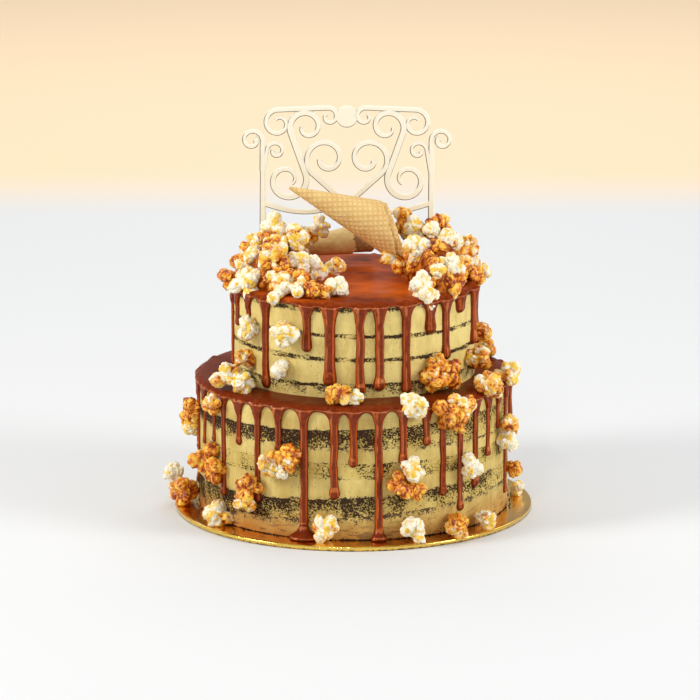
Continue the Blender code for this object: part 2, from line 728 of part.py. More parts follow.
def main():
    """Builds every piece and shades it."""
    clear_scene()
    upper_drips = UPPER_DRIPS + rear_drips(UPPER_REAR_STEP, UPPER_REAR_TIPS, REAR_SEED)
    lower_drips = LOWER_DRIPS + rear_drips(LOWER_REAR_STEP, LOWER_REAR_TIPS, REAR_SEED + 1)
    board()
    pockets = [stake_object(side, GAP) for side in (-1, 1)]
    tier("lower", LOWER_RADIUS, BOARD_THICKNESS + GAP, LOWER_LAYERS, [])
    tier("upper", UPPER_RADIUS, LOWER_TOP + GAP, UPPER_LAYERS, pockets)
    caramel("caramel_lower", LOWER_RADIUS, LOWER_TOP, UPPER_RADIUS + GAP, lower_drips)
    pool = caramel("caramel_upper", UPPER_RADIUS, UPPER_TOP, 0.0, upper_drips)
    for pocket in pockets:
        carve(pool, pocket)
    drop(pockets)
    wafer_cone("cone_long", **LONG_CONE)
    wafer_cone("cone_short", **SHORT_CONE)
    topper()
    popcorn(clearance_space(upper_drips, lower_drips))
    for made in bpy.data.objects:
        if made.type == "MESH" and not made.hide_render:
            made.data.shade_smooth()
            made.data.set_sharp_from_angle(angle=math.radians(40))


main()
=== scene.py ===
"""The looks of a two-tier caramel drip cake, as a Blender add-on file that is run as a script.

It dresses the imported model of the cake: spread buttercream with bands of crumb, poured caramel with its
drips, caramel popcorn, wafer cones, a cut scrollwork topper and the gold board. Everything is in metres,
+Z is up and -Y is the front. Azimuths are degrees from the front towards +X.
"""

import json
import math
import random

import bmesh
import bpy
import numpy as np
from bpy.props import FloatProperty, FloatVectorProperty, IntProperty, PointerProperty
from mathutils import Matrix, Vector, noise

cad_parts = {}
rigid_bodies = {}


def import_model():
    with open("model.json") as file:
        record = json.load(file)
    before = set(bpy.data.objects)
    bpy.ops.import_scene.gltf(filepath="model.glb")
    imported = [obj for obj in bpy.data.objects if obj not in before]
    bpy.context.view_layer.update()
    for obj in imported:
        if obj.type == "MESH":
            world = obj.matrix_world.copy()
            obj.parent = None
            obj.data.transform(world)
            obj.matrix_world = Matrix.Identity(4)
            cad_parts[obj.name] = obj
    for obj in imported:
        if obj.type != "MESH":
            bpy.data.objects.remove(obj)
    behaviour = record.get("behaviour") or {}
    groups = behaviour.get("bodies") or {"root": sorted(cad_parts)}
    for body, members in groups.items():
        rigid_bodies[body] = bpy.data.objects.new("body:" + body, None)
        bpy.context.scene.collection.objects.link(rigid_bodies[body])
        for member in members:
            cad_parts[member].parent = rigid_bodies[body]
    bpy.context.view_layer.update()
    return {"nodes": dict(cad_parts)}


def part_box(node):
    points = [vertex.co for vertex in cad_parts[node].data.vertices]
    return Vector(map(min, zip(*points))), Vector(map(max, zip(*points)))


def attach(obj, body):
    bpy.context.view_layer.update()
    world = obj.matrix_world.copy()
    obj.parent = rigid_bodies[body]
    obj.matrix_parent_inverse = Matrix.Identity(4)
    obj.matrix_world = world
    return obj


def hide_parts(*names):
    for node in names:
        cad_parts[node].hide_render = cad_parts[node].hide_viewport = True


bl_info = {
    "name": "Caramel Drip Cake",
    "version": (1, 0, 0),
    "blender": (4, 5, 0),
    "location": "3D View > Sidebar > Cake",
    "description": "Makes the finished pieces of a two-tier caramel drip cake",
    "category": "Add Mesh",
}

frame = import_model()

MM = 0.001
BODY = "root"
ROUND = 360           # points round the board and the pools

# how far crumbs are smeared into each cream layer, in millimetres, under its upper and over its lower edge
SMEARS = {
    "upper_cream_1": (9.0, 0.0), "upper_cream_2": (1.2, 0.6), "upper_cream_3": (1.0, 0.6),
    "upper_cream_4": (1.8, 0.6), "upper_cream_5": (0.0, 0.8),
    "lower_cream_1": (6.0, 0.8), "lower_cream_2": (0.6, 2.0), "lower_cream_3": (4.0, 0.6),
    "lower_cream_4": (0.0, 1.2),
}
# how cream veils each band of sponge: (all over, how patchily, more at its lower edge, more towards +X)
VEILS = {"lower_sponge_1": (-0.05, 0.6, 0.12, 0.06), "lower_sponge_2": (0.10, 0.8, 0.0, -0.02),
         "lower_sponge_3": (-0.07, 0.5, 0.12, 0.09)}
LINE_VEIL = (-0.04, 1.0, 0.02, -0.05)
FOOT_HEIGHT = 26.0    # millimetres over the board up to which the cream is painted browner: a painted reflection of the gold board and painted shade where the cake meets it
SHADE_HEIGHT = 96.0    # millimetres up to which the cream is painted a little darker: painted shade on the lower tier
LINE_HEIGHT = 4.0     # millimetres under which a band of sponge shows as a thin line
EDGE_WAVER = 3.2      # millimetres that the line between two layers wanders up and down
LAYER_RELIEF, LAYER_PITS = 0.5, 0.25    # millimetres of slow swell and of pits in a layer's side

# caramel, in millimetres
POOL = 2.0            # thickness of a pool
LIP_OUT = 2.8         # how far its lip stands out over the side
LIP_HANG = 11.0       # how far the lip runs down into a drip
LIP_FADE = 2.3        # how far beside a drip that has mostly faded
POOL_RIPPLE = 0.32    # height of the ripples on the flat of a pool
# (azimuth, width, height of the tip) of each drip
UPPER_DRIPS = [
    (-79, 4.5, 110), (-70, 4.5, 143), (-58, 4.2, 153), (-45, 6.4, 104), (-22, 6.3, 135),
    (-11, 8.0, 110), (3, 6.3, 104), (12, 6.7, 107), (25, 6.7, 104), (38, 7.4, 146),
    (48, 6.7, 124), (59, 7.4, 156), (76, 7.4, 127),
]
LOWER_DRIPS = [
    (-81, 4.4, 46), (-71, 3.8, 55), (-62, 3.8, 61), (-55, 4.8, 23), (-46, 4.6, 65),
    (-37, 5.2, 25), (-28, 5.2, 64), (-18, 6.0, 3.6), (-7, 6.0, 33), (0, 5.5, 57),
    (9, 6.0, 3.6), (18, 5.5, 58), (27, 5.2, 70), (34, 5.2, 31), (42, 5.0, 17),
    (50, 5.2, 32), (58, 4.4, 52), (66, 4.2, 69), (75, 4.6, 15.5),
]
# a drip is drawn this many times as wide as stated, and its profile thins it again half way down
DRIP_SPREAD = 1.2
PUDDLES = {-18: 21.0, 9: 12.0}  # width at the board of the drips that reach it
# (height over the board, part of the width) of the rings of a puddle
PUDDLE_RINGS = ((0.0, 0.93), (1.1, 1.0), (2.4, 0.96), (3.8, 0.8), (5.2, 0.58), (7.4, 0.4), (10.5, 0.3))
PUDDLE_ROUND = 24
UPPER_GLOW, LOWER_GLOW = 1.0, 0.15    # how much lighter the flat of a pool is than its lip; below 1 its flat is also painted darker, as painted shade on the ledge
REAR_START, REAR_END = 90, 270
UPPER_REAR_STEP, LOWER_REAR_STEP = 20.0, 17.0
UPPER_REAR_TIPS = (104, 112, 124, 133, 146, 152)
LOWER_REAR_TIPS = (12, 20, 34, 46, 58, 66)
REAR_SEED = 11

# popcorn, in millimetres: (seat, azimuth, height or distance from the axis, size, how toffeed it is)
CLUSTERS = {
    "popcorn_upper_1": [("upper", -53, 148, 16, 0.45)],
    "popcorn_upper_2": [("upper", -31, 151, 19, 0.42)],
    "popcorn_upper_3": [("upper", -56, 123, 14, 0.62)],
    "popcorn_upper_4": [("upper", -34, 122, 13.5, 0.1)],
    "popcorn_upper_5": [("upper", 36, 113, 19, 0.8), ("upper", 46, 117, 19, 0.85),
                        ("upper", 40, 125, 15, 0.8)],
    "popcorn_upper_6": [("upper", 88, 132, 16, 0.75)],
    "popcorn_upper_7": [("upper", 70, 122, 17, 0.7), ("upper", 76, 114, 14, 0.9)],
    "popcorn_ledge_1": [("ledge", -56.5, 110, 19.5, 0.55), ("ledge", -49.5, 107, 17, 0.5)],
    "popcorn_ledge_2": [("ledge", -6.5, 108, 19, 0.68), ("ledge", 0, 109, 12, 0.3)],
    "popcorn_rim_1": [("free", 22, (119, 104), 21, 0.35)],
    "popcorn_rim_2": [("free", 34, (121, 94), 19, 0.8), ("free", 41, (121, 99), 20, 0.6),
                      ("free", 38, (123, 87), 15, 0.85)],
    "popcorn_rim_3": [("free", 57, (117, 107), 21, 0.66)],
    "popcorn_rim_4": [("free", 75, (118, 107), 19, 0.55)],
    "popcorn_rim_5": [("lower", -57, 92, 15, 0.68)],
    "popcorn_lower_1": [("lower", 68, 72, 16, 0.6), ("lower", 67, 60, 16, 0.3)],
    "popcorn_lower_2": [("lower", 79, 33, 13, 0.85)],
    "popcorn_lower_3": [("lower", 44, 52, 17, 0.25)],
    "popcorn_lower_4": [("lower", 21, 56, 17, 0.4), ("lower", 16, 46, 18, 0.95),
                        ("lower", 21, 40, 15, 0.8)],
    "popcorn_lower_5": [("lower", -30, 59, 19, 0.55), ("lower", -23, 64, 18, 0.75),
                        ("lower", -25, 54, 13, 0.2)],
    "popcorn_lower_6": [("lower", -38, 38, 18, 0.66), ("lower", -39, 27, 18, 0.64)],
    "popcorn_lower_7": [("lower", -62, 51, 20, 0.85), ("lower", -57, 43, 18, 0.8)],
    "popcorn_lower_8": [("lower", -83, 76, 17, 0.75), ("lower", -84, 64, 15, 0.5)],
    "popcorn_board_1": [("board", -54, 122, 20, 0.5)],
    "popcorn_board_2": [("board", -83, 127, 20, 0.9), ("board", -89.5, 129, 18, 0.75),
                        ("free", -91, (135, 21), 16, 0.15)],
    "popcorn_board_3": [("board", -9, 120, 19, 0.45)],
    "popcorn_board_4": [("board", 20, 126, 19, 0.08)],
    "popcorn_board_5": [("board", 36, 127, 20, 0.68)],
    "popcorn_board_6": [("board", 49, 127, 15, 0.5)],
    "popcorn_board_7": [("board", 96, 124, 12, 0.4)],
    "popcorn_rear_1": [("ledge", 112, 108, 18, 0.7), ("ledge", 119, 108, 17, 0.3)],
    "popcorn_rear_2": [("ledge", 150, 106, 19, 0.5), ("ledge", 158, 106, 17, 0.8),
                       ("upper", 154, 121, 17, 0.65)],
    "popcorn_rear_3": [("upper", 195, 132, 17, 0.35)],
    "popcorn_rear_4": [("ledge", 214, 107, 20, 0.6), ("ledge", 222, 108, 16, 0.85)],
    "popcorn_rear_5": [("lower", 128, 66, 18, 0.3), ("lower", 123, 59, 17, 0.8)],
    "popcorn_rear_6": [("board", 150, 126, 19, 0.15), ("board", 157, 125, 16, 0.65)],
    "popcorn_rear_7": [("lower", 207, 45, 18, 0.85), ("lower", 202, 36, 19, 0.6),
                       ("lower", 207, 28, 15, 0.4)],
}
# the heaps on top, in millimetres: (x, y, height, size, how toffeed it is) of each kernel over the core
LEFT_CORE = dict(middle=(-58, -4, 172), reach=(22, 50, 32))
LEFT_HEAP = [
    (-58, 9, 211, 20, 0.35), (-61, -9, 204, 12, 0.85), (-43, -16, 205, 20, 0.55),
    (-25, 20, 208, 17, 0.4), (-36, 21, 200, 18, 0.5), (-45, 17, 195, 20, 0.5),
    (-72, -18, 192, 16, 0.5), (-59, -40, 196, 21, 0.6), (-78, -40, 178, 26, 0.35),
    (-90, -11, 176, 19, 0.85), (-79, -12, 185, 18, 0.6), (-41, -38, 193, 17, 0.15),
    (-44, -36, 183, 19, 0.8), (-31, -22, 186, 23, 0.25), (-14, -19, 184, 17, 0.55),
    (-56, -45, 181, 20, 0.55), (-52, -58, 179, 19, 0.5), (-39, -56, 182, 18, 0.85),
    (-54, -69, 176, 19, 0.4), (-39, -71, 180, 17, 0.4), (-30, -74, 180, 15, 0.85),
    (-21, -73, 178, 13, 0.7), (-12, -71, 181, 17, 0.12), (-75, 9, 184, 21, 0.5),
    (-82, 22, 181, 18, 0.7), (-56, -24, 200, 18, 0.6), (-45, 2, 198, 20, 0.6),
    (-69, 46, 183, 19, 0.3), (-54, 50, 182, 20, 0.7), (-72, 28, 191, 19, 0.5),
    (-56, 30, 198, 19, 0.35), (-40, 34, 184, 18, 0.6), (-70, 0, 198, 18, 0.6),
    (-38, -8, 186, 17, 0.75),
]
RIGHT_CORE = dict(middle=(61, -10, 172), reach=(20, 50, 34))
RIGHT_HEAP = [
    (36, 20, 214, 17, 0.65), (45, 9, 209, 17, 0.35), (51, 9, 198, 20, 0.35),
    (63, 11, 209, 19, 0.8), (66, 14, 215, 11, 0.5), (46, -24, 199, 21, 0.15),
    (68, -9, 202, 19, 0.2), (83, 9, 195, 18, 0.65), (78, 0, 189, 18, 0.8),
    (31, -9, 188, 21, 0.7), (43, -12, 182, 18, 0.8), (68, -36, 191, 26, 0.2),
    (50, -49, 178, 19, 0.7), (49, -61, 183, 19, 0.15), (52, -71, 173, 20, 0.25),
    (74, -47, 176, 21, 0.72), (89, -11, 174, 20, 0.85), (96, -2, 178, 12, 0.3),
    (42, 22, 202, 19, 0.5), (36, 36, 186, 18, 0.4), (52, 38, 184, 20, 0.7),
    (66, 38, 184, 20, 0.3), (74, 30, 192, 18, 0.6), (83, 22, 182, 20, 0.5),
    (63, 25, 197, 18, 0.55), (78, -24, 184, 19, 0.8), (46, 24, 187, 18, 0.6),
    (58, -4, 208, 15, 0.3),
]
KERNEL_SINK = 0.42    # a leaning kernel's middle stands this much of its size off the side
KERNEL_SWELL = 1.08   # how much larger a kernel in a cluster is drawn than its stated size
KERNEL_SHAPES = 10
KERNEL_SEED = 5
BUMPS = 9             # small lobes on each kernel shape
# kernels drawn for each heap, small ones in its gaps and some on the side that looks back: (number, how far
# out on the core, least height over the tier, least y of their way from the middle, sizes, coats)
HEAP_FILL = (20, 1.02, 5, -1.0, (9, 14), (0.45, 1.0))
HEAP_REAR = (22, 1.05, 6, 0.1, (14, 19), (0.1, 0.9))

# cones and topper, in millimetres
LONG_CONE = dict(tip=(-47.2, -5.6, 242.0), aim=(34.5, 5.6, 206.6), tip_radius=1.0, taper=0.225,
                 outer_end=79.5, inner_end=85.5, outer_lean=0.8, inner_lean=0.85,
                 pitch=3.7, emboss=0.45, contrast=0.42, shade=0.0)
# shade is painted shade on the inner turn, which lies in the long cone's shadow
SHORT_CONE = dict(tip=(-56.5, 32.0, 187.0), aim=(-6.4, 58.0, 189.4), tip_radius=4.8, taper=0.095,
                  outer_end=59.5, inner_end=76.0, outer_lean=0.1, inner_lean=0.1,
                  pitch=5.0, emboss=0.1, contrast=0.12, shade=1.6)
CONE_STEP, CONE_WALL, CONE_RECESS = 1.0, 1.8, 4.0
CONE_ROUND, CONE_GRAIN, CONE_INNER_RINGS = 220, 0.5, 18
TOPPER_MIDDLE = (-4.9, 31.0)
TOPPER_FOOT = 214.0
STAKE_OFFSET, STAKE_WIDTH = 62.8, 6.0
STAKE_BOTTOM, STAKE_HEIGHT = 138.0, 262.0
THIN, THICK = 2.4, 4.6
SWAG_HEIGHT, SWAG_SAG = 10.0, 7.0
CURL_EYE = 0.3
BEAD_RADIUS, BEAD_STEPS = 8.0, 24

CRUMBS, CRUMB_SHAPES, CRUMB_SEED = 170, 4, 77
CRUMB_SIZES = 0.4, 1.3    # millimetres
CAMERA_ELEVATION = 12.87    # degrees over level
CAMERA_SHIFT = -0.0026      # metres towards +X that the camera aims off the axis
CAMERA_LENS = (205.7, 36.0)    # focal length and sensor width in millimetres
# the studio, in metres: (name, place, aim, size, watts, colour) of each lamp
LAMPS = (
    ("key", (-1.7, -0.75, 1.1), (0, 0, 0.12), (0.6, 0.8), 25.5, (1.0, 0.99, 0.94)),
    ("fill", (1.8, -0.75, 0.9), (0, 0, 0.12), (0.8, 1.0), 25.0, (0.99, 1.0, 0.97)),
    ("top", (0.1, 0.3, 1.7), (0, 0, 0.1), (1.2, 1.2), 7.0, (1.0, 1.0, 1.0)),
    ("spark", (-0.35, -1.8, 1.3), (0, 0, 0.1), (0.16, 0.16), 5.0, (1.0, 1.0, 1.0)),
    ("rear", (0.0, 2.1, 1.7), (0, 2.1, 0.0), (3.0, 1.6), 27.0, (1.0, 1.0, 1.0)),
)
SKY = (1.0, 0.99, 0.97, 1.0), 0.38    # colour and strength of the light from all round
FLOOR_HALF, FLOOR_SINK = 7.0, 0.0003
PEACH_FROM_TO = 1.12, 1.42    # how far behind the cake the floor turns peach


def srgb(red, green, blue):
    """A colour given in 0-255 screen values, as the linear values that shaders take."""
    found = []
    for value in (red, green, blue):
        part = value / 255
        found.append(part / 12.92 if part <= 0.04045 else ((part + 0.055) / 1.055) ** 2.4)
    return tuple(found)


def shade_of(colour, part):
    """A colour made darker or lighter, part times as bright."""
    return [part * value for value in colour]


def top_of(node):
    """Height of a node's top in millimetres."""
    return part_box(node)[1].z / MM


def radius_of(node):
    """Radius of a round node in millimetres."""
    return -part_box(node)[0].y / MM


# ---------------------------------------------------------------- settings

def colour_setting(name, description, default):
    return FloatVectorProperty(name=name, description=description, default=default, size=3,
                               min=0.0, max=1.0, subtype="COLOR")


def length_setting(name, description, default):
    return FloatProperty(name=name, description=description, default=default, min=0.0,
                         unit="LENGTH", subtype="DISTANCE")


class CakeSettings(bpy.types.PropertyGroup):
    """The baked and spread parts."""

    lower_radius: length_setting("Lower radius", "Radius of the lower tier over its cream",
                                 radius_of("lower_cream_4") * MM)
    upper_radius: length_setting("Upper radius", "Radius of the upper tier over its cream",
                                 radius_of("upper_cream_4") * MM)
    mesh_step: length_setting("Mesh step", "Distance between the points of the spread cream", 1.0 * MM)
    cream: colour_setting("Cream", "Buttercream in the light", srgb(231, 208, 129))
    # cream shade is also the colour of the painted shade over the lower tier
    cream_shade: colour_setting("Cream shade", "Buttercream where it is thin over crumb",
                                srgb(192, 163, 88))
    # cream at the foot is a painted reflection of the gold board and painted shade
    cream_foot: colour_setting("Cream at the foot", "Buttercream near the board",
                               srgb(184, 120, 50))
    crumb: colour_setting("Crumb", "Dark sponge", srgb(50, 20, 30))
    board: colour_setting("Board", "Gold foil of the board", srgb(250, 200, 80))


class CaramelSettings(bpy.types.PropertyGroup):
    """The poured caramel."""

    voxel: length_setting("Fineness", "Voxel size that the poured shapes are merged at", 0.965 * MM)
    deep: colour_setting("Deep caramel", "Caramel where it is thick", srgb(110, 37, 10))
    thin: colour_setting("Thin caramel", "Caramel where light shines through it", srgb(206, 92, 20))


class PopcornSettings(bpy.types.PropertyGroup):
    """The popcorn on and round the cake."""

    bare: colour_setting("Bare corn", "Popped corn without caramel", srgb(255, 250, 230))
    butter: colour_setting("Butter", "Corn stained yellow", srgb(253, 206, 66))
    toffee: colour_setting("Toffee", "Corn under a coat of caramel", srgb(234, 138, 32))
    burnt: colour_setting("Burnt toffee", "Caramel pooled in the creases", srgb(150, 56, 12))
    seed: IntProperty(name="Seed", description="Draw that turns the kernels", default=21)


class TrimmingsSettings(bpy.types.PropertyGroup):
    """The cones, the topper and the studio."""

    wafer: colour_setting("Wafer", "Baked wafer", srgb(234, 207, 139))
    wafer_brown: colour_setting("Browned wafer", "Ridges and edges of the wafer", srgb(200, 146, 78))
    topper: colour_setting("Topper", "Face of the cut sheet", srgb(243, 237, 218))
    # the topper's edge colour is painted shade on the cut edges that look left or down
    topper_edge_shade: colour_setting("Topper edge", "Cut edge of the sheet", srgb(92, 88, 78))
    topper_thickness: length_setting("Topper thickness", "Thickness of the cut sheet", 3.0 * MM)
    camera_distance: length_setting("Camera distance", "From the camera to the cake", 2.979)
    camera_height: length_setting("Aim height", "Height that the camera looks at", 0.1181)
    floor: colour_setting("Floor", "Studio floor", srgb(224, 225, 227))
    far_floor: colour_setting("Far floor", "Studio floor far behind", srgb(250, 224, 190))


# ---------------------------------------------------------------- node trees

class Wire:
    """An output socket. Python's operators on it add Math nodes to its tree."""

    def __init__(self, net, socket):
        self.net = net
        self.socket = socket

    def maths(self, operation, *operands):
        return self.net.node("ShaderNodeMath", {"operation": operation}, dict(enumerate(operands)))

    def __add__(self, other):
        return self.maths("ADD", self, other)

    __radd__ = __add__

    def __sub__(self, other):
        return self.maths("SUBTRACT", self, other)

    def __rsub__(self, other):
        return self.maths("SUBTRACT", other, self)

    def __mul__(self, other):
        return self.maths("MULTIPLY", self, other)

    __rmul__ = __mul__

    def __truediv__(self, other):
        return self.maths("DIVIDE", self, other)

    def __rtruediv__(self, other):
        return self.maths("DIVIDE", other, self)

    def __abs__(self):
        return self.maths("ABSOLUTE", self)

    def clamp(self):
        return self.net.node("ShaderNodeMath", {"operation": "ADD", "use_clamp": True},
                             {0: self, 1: 0.0})

    def rise(self, low, high):
        """0 below low, 1 above high and a smooth step between them."""
        return self.net.node("ShaderNodeMapRange", {"interpolation_type": "SMOOTHSTEP"},
                             {"Value": self, "From Min": low, "From Max": high})


class Net:
    """A node tree, with one method that adds any node to it."""

    def __init__(self, tree):
        self.tree = tree

    def node(self, kind, settings=None, sockets=None, out=0):
        """Adds a node, sets its settings, then gives its sockets their values or links."""
        made = self.tree.nodes.new(kind)
        for name, value in (settings or {}).items():
            setattr(made, name, value)
        for key, value in (sockets or {}).items():
            if isinstance(value, Wire):
                self.tree.links.new(value.socket, made.inputs[key])
            else:
                made.inputs[key].default_value = value
        return Wire(self, made.outputs[out]) if made.outputs else made

    def noise(self, place, size, detail=2.0, roughness=0.5):
        """Fractal noise from 0 to 1 whose blotches are about a size in metres."""
        return self.node("ShaderNodeTexNoise", None,
                         {"Vector": place, "Scale": 1.0 / size, "Detail": detail, "Roughness": roughness})

    def cells(self, place, size):
        """Distance to the nearest of some scattered points, about a size in metres apart."""
        return self.node("ShaderNodeTexVoronoi", None, {"Vector": place, "Scale": 1.0 / size}, "Distance")

    def vector(self, operation, *operands, out=0):
        return self.node("ShaderNodeVectorMath", {"operation": operation}, dict(enumerate(operands)), out)

    def split(self, place):
        return [self.node("ShaderNodeSeparateXYZ", None, {0: place}, axis) for axis in range(3)]

    def join(self, x, y, z):
        return self.node("ShaderNodeCombineXYZ", None, {0: x, 1: y, 2: z})


class Finish(Net):
    """A material under construction, with one Principled shader."""

    def __init__(self, name):
        self.material = bpy.data.materials.new(name)
        self.material.use_nodes = True
        super().__init__(self.material.node_tree)
        self.shader = self.tree.nodes["Principled BSDF"]

    def place(self):
        return self.node("ShaderNodeTexCoord", None, None, "Object")

    def facing(self):
        """The x, y and z of the way that the surface looks."""
        return self.split(self.node("ShaderNodeTexCoord", None, None, "Normal"))

    def attribute(self, name):
        return self.node("ShaderNodeAttribute", {"attribute_name": name}, None, "Fac")

    def mix(self, factor, first, second):
        """A colour between two colours, which are Wires or three numbers."""
        colours = [c if isinstance(c, Wire) else (*c, 1.0) for c in (first, second)]
        return self.node("ShaderNodeMix", {"data_type": "RGBA"},
                         {0: factor, 6: colours[0], 7: colours[1]}, 2)

    def bump(self, height, distance):
        return self.node("ShaderNodeBump", None, {"Height": height, "Distance": distance})

    def done(self, **sockets):
        """Sets or links the shader's sockets. Underscores stand for the spaces of their names."""
        for name, value in sockets.items():
            socket = self.shader.inputs[name.replace("_", " ")]
            if isinstance(value, Wire):
                self.tree.links.new(value.socket, socket)
            elif socket.type == "RGBA":
                socket.default_value = (*value, 1.0)
            else:
                socket.default_value = value
        return self.material


class Grower(Net):
    """A Geometry Nodes tree with named inputs."""

    KINDS = {float: "NodeSocketFloat", int: "NodeSocketInt", "collection": "NodeSocketCollection"}

    def __init__(self, name, **inputs):
        super().__init__(bpy.data.node_groups.new(name, "GeometryNodeTree"))
        sockets = self.tree.interface
        sockets.new_socket(name="Result", in_out="OUTPUT", socket_type="NodeSocketGeometry")
        sockets.new_socket(name="Geometry", in_out="INPUT", socket_type="NodeSocketGeometry")
        sockets.new_socket(name="Material", in_out="INPUT", socket_type="NodeSocketMaterial")
        for label, kind in inputs.items():
            sockets.new_socket(name=label.replace("_", " "), in_out="INPUT", socket_type=self.KINDS[kind])
        self.start = self.tree.nodes.new("NodeGroupInput")

    def given(self, name):
        return Wire(self, self.start.outputs[name])

    def named(self, name, kind):
        return self.node("GeometryNodeInputNamedAttribute", {"data_type": kind}, {"Name": name})

    def store(self, geometry, name, value):
        return self.node("GeometryNodeStoreNamedAttribute", {"data_type": "FLOAT", "domain": "POINT"},
                         {"Geometry": geometry, "Name": name, "Value": value})

    def close(self, geometry):
        """Ends the tree: instances made real, the material set, the result handed out."""
        real = self.node("GeometryNodeRealizeInstances", None, {0: geometry})
        smooth = self.node("GeometryNodeSetShadeSmooth", None, {0: real})
        painted = self.node("GeometryNodeSetMaterial", None,
                            {"Geometry": smooth, "Material": self.given("Material")})
        self.node("NodeGroupOutput", None, {0: painted})
        return self.tree


def stand(name, data):
    """Puts a mesh, a light or a camera in the scene."""
    made = bpy.data.objects.new(name, data)
    bpy.context.scene.collection.objects.link(made)
    return made


def run_tree(name, tree, values, start=None):
    """Runs a Geometry Nodes tree and keeps what it makes as a plain mesh in a new object."""
    piece = stand(name, start or bpy.data.meshes.new(name))
    modifier = piece.modifiers.new("grow", "NODES")
    modifier.node_group = tree
    for item in tree.interface.items_tree:
        if item.in_out == "INPUT" and item.name in values:
            modifier[item.identifier] = values[item.name]
    keep_result(piece)
    return piece


def keep_result(piece):
    """Turns the piece's modifiers into a plain mesh and takes them off."""
    view = bpy.context.evaluated_depsgraph_get()
    mesh = bpy.data.meshes.new_from_object(piece.evaluated_get(view), preserve_all_data_layers=True,
                                           depsgraph=view)
    piece.modifiers.clear()
    piece.data = mesh


# ---------------------------------------------------------------- shared shapes

def polar(azimuth, radius, height):
    """The point at an azimuth, a distance from the axis and a height."""
    angle = math.radians(azimuth)
    return Vector((radius * math.sin(angle), -radius * math.cos(angle), height))


def mesh_piece(name, points, faces, material=None):
    mesh = bpy.data.meshes.new(name)
    mesh.from_pydata([tuple(point) for point in points], [], faces)
    if material:
        mesh.materials.append(material)
    return stand(name, mesh)


def ball(name, subdivisions, shape):
    """A mesh ball of radius 1, each of whose points a rule then moves."""
    bm = bmesh.new()
    bmesh.ops.create_icosphere(bm, subdivisions=subdivisions, radius=1.0)
    for vert in bm.verts:
        vert.co = shape(vert.co)
    mesh = bpy.data.meshes.new(name)
    bm.to_mesh(mesh)
    bm.free()
    return mesh


def loft(rings, closed_run=False):
    """Points and faces of a skin over rings of equally many points, capped unless its run is closed."""
    count = len(rings[0])
    points = [point for ring in rings for point in ring]
    faces = []
    pairs = [(k, k + 1) for k in range(len(rings) - 1)]
    if closed_run:
        pairs.append((len(rings) - 1, 0))
    for low, high in pairs:
        for i in range(count):
            after = (i + 1) % count
            faces.append((low * count + i, low * count + after, high * count + after,
                          high * count + i))
    if not closed_run:
        faces.append(tuple(range(count))[::-1])
        faces.append(tuple(range((len(rings) - 1) * count, len(rings) * count)))
    return points, faces


def tidy_mesh(piece, smooth_angle=None, merge=0.0):
    """Merges points that meet, points the faces outwards and shades the piece."""
    bm = bmesh.new()
    bm.from_mesh(piece.data)
    if merge:
        bmesh.ops.remove_doubles(bm, verts=bm.verts, dist=merge)
    bmesh.ops.recalc_face_normals(bm, faces=bm.faces)
    bm.to_mesh(piece.data)
    bm.free()
    piece.data.shade_smooth()
    if smooth_angle:
        piece.data.set_sharp_from_angle(angle=math.radians(smooth_angle))


def give_values(mesh, name, values, kind="FLOAT"):
    """Gives each point of a mesh a value, for its material or a tree to read."""
    layer = mesh.attributes.new(name, kind, "POINT")
    values = np.asarray(values, dtype=np.int32 if kind == "INT" else np.float32)
    layer.data.foreach_set("vector" if kind == "FLOAT_VECTOR" else "value", values.ravel())


def read_points(mesh):
    """The places of a mesh's points, as an array of rows."""
    flat = np.empty(len(mesh.vertices) * 3, np.float32)
    mesh.vertices.foreach_get("co", flat)
    return flat.reshape(-1, 3)


def write_points(mesh, points):
    mesh.vertices.foreach_set("co", np.asarray(points, np.float32).ravel())
    mesh.update()


def dress(piece, slot, *nodes):
    """Hands a finished piece to the frame, in place of the nodes that it stands for."""
    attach(piece, BODY)
    if nodes:
        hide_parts(*nodes)


def drop(things):
    for thing in things:
        bpy.data.objects.remove(thing, do_unlink=True)


# ---------------------------------------------------------------- board and tiers

def foil_material(settings):
    """Gold foil: bright metal with slow waves, and folds round its rim, with painted shade in the folds low
    on the rim and a painted highlight along its upper rim.
    """
    net = Finish("gold_foil")
    place = net.place()
    x, y, z = net.split(place)
    wave = net.noise(place, 16.0 * MM)
    fine = net.noise(place, 2.5 * MM)
    tint = net.noise(place, 50.0 * MM, 1.0)
    colour = net.mix(tint.rise(0.3, 0.7), settings.board, srgb(224, 166, 72))
    rim = 1.0 - net.facing()[2].rise(0.5, 0.9)
    folds = net.noise(net.join(x, y, 0.0), 2.6 * MM, 2.0, 0.7)
    low = 1.0 - (z / (3.0 * MM)).rise(0.1, 0.6)
    # painted shade in the creases of the folds low on the rim, standing in for dark reflections
    colour = net.mix((rim * low * folds.rise(0.48, 0.56)).clamp(), colour, srgb(52, 36, 12))
    # a painted highlight along the upper rim
    colour = net.mix((rim * (1.0 - low)).clamp() * 0.7, colour, srgb(252, 226, 120))
    normal = net.bump(wave + fine * 0.08 + rim * folds * 0.6, 0.3 * MM)
    return net.done(Base_Color=colour, Metallic=1.0, Roughness=0.14 + fine * 0.1, Normal=normal)


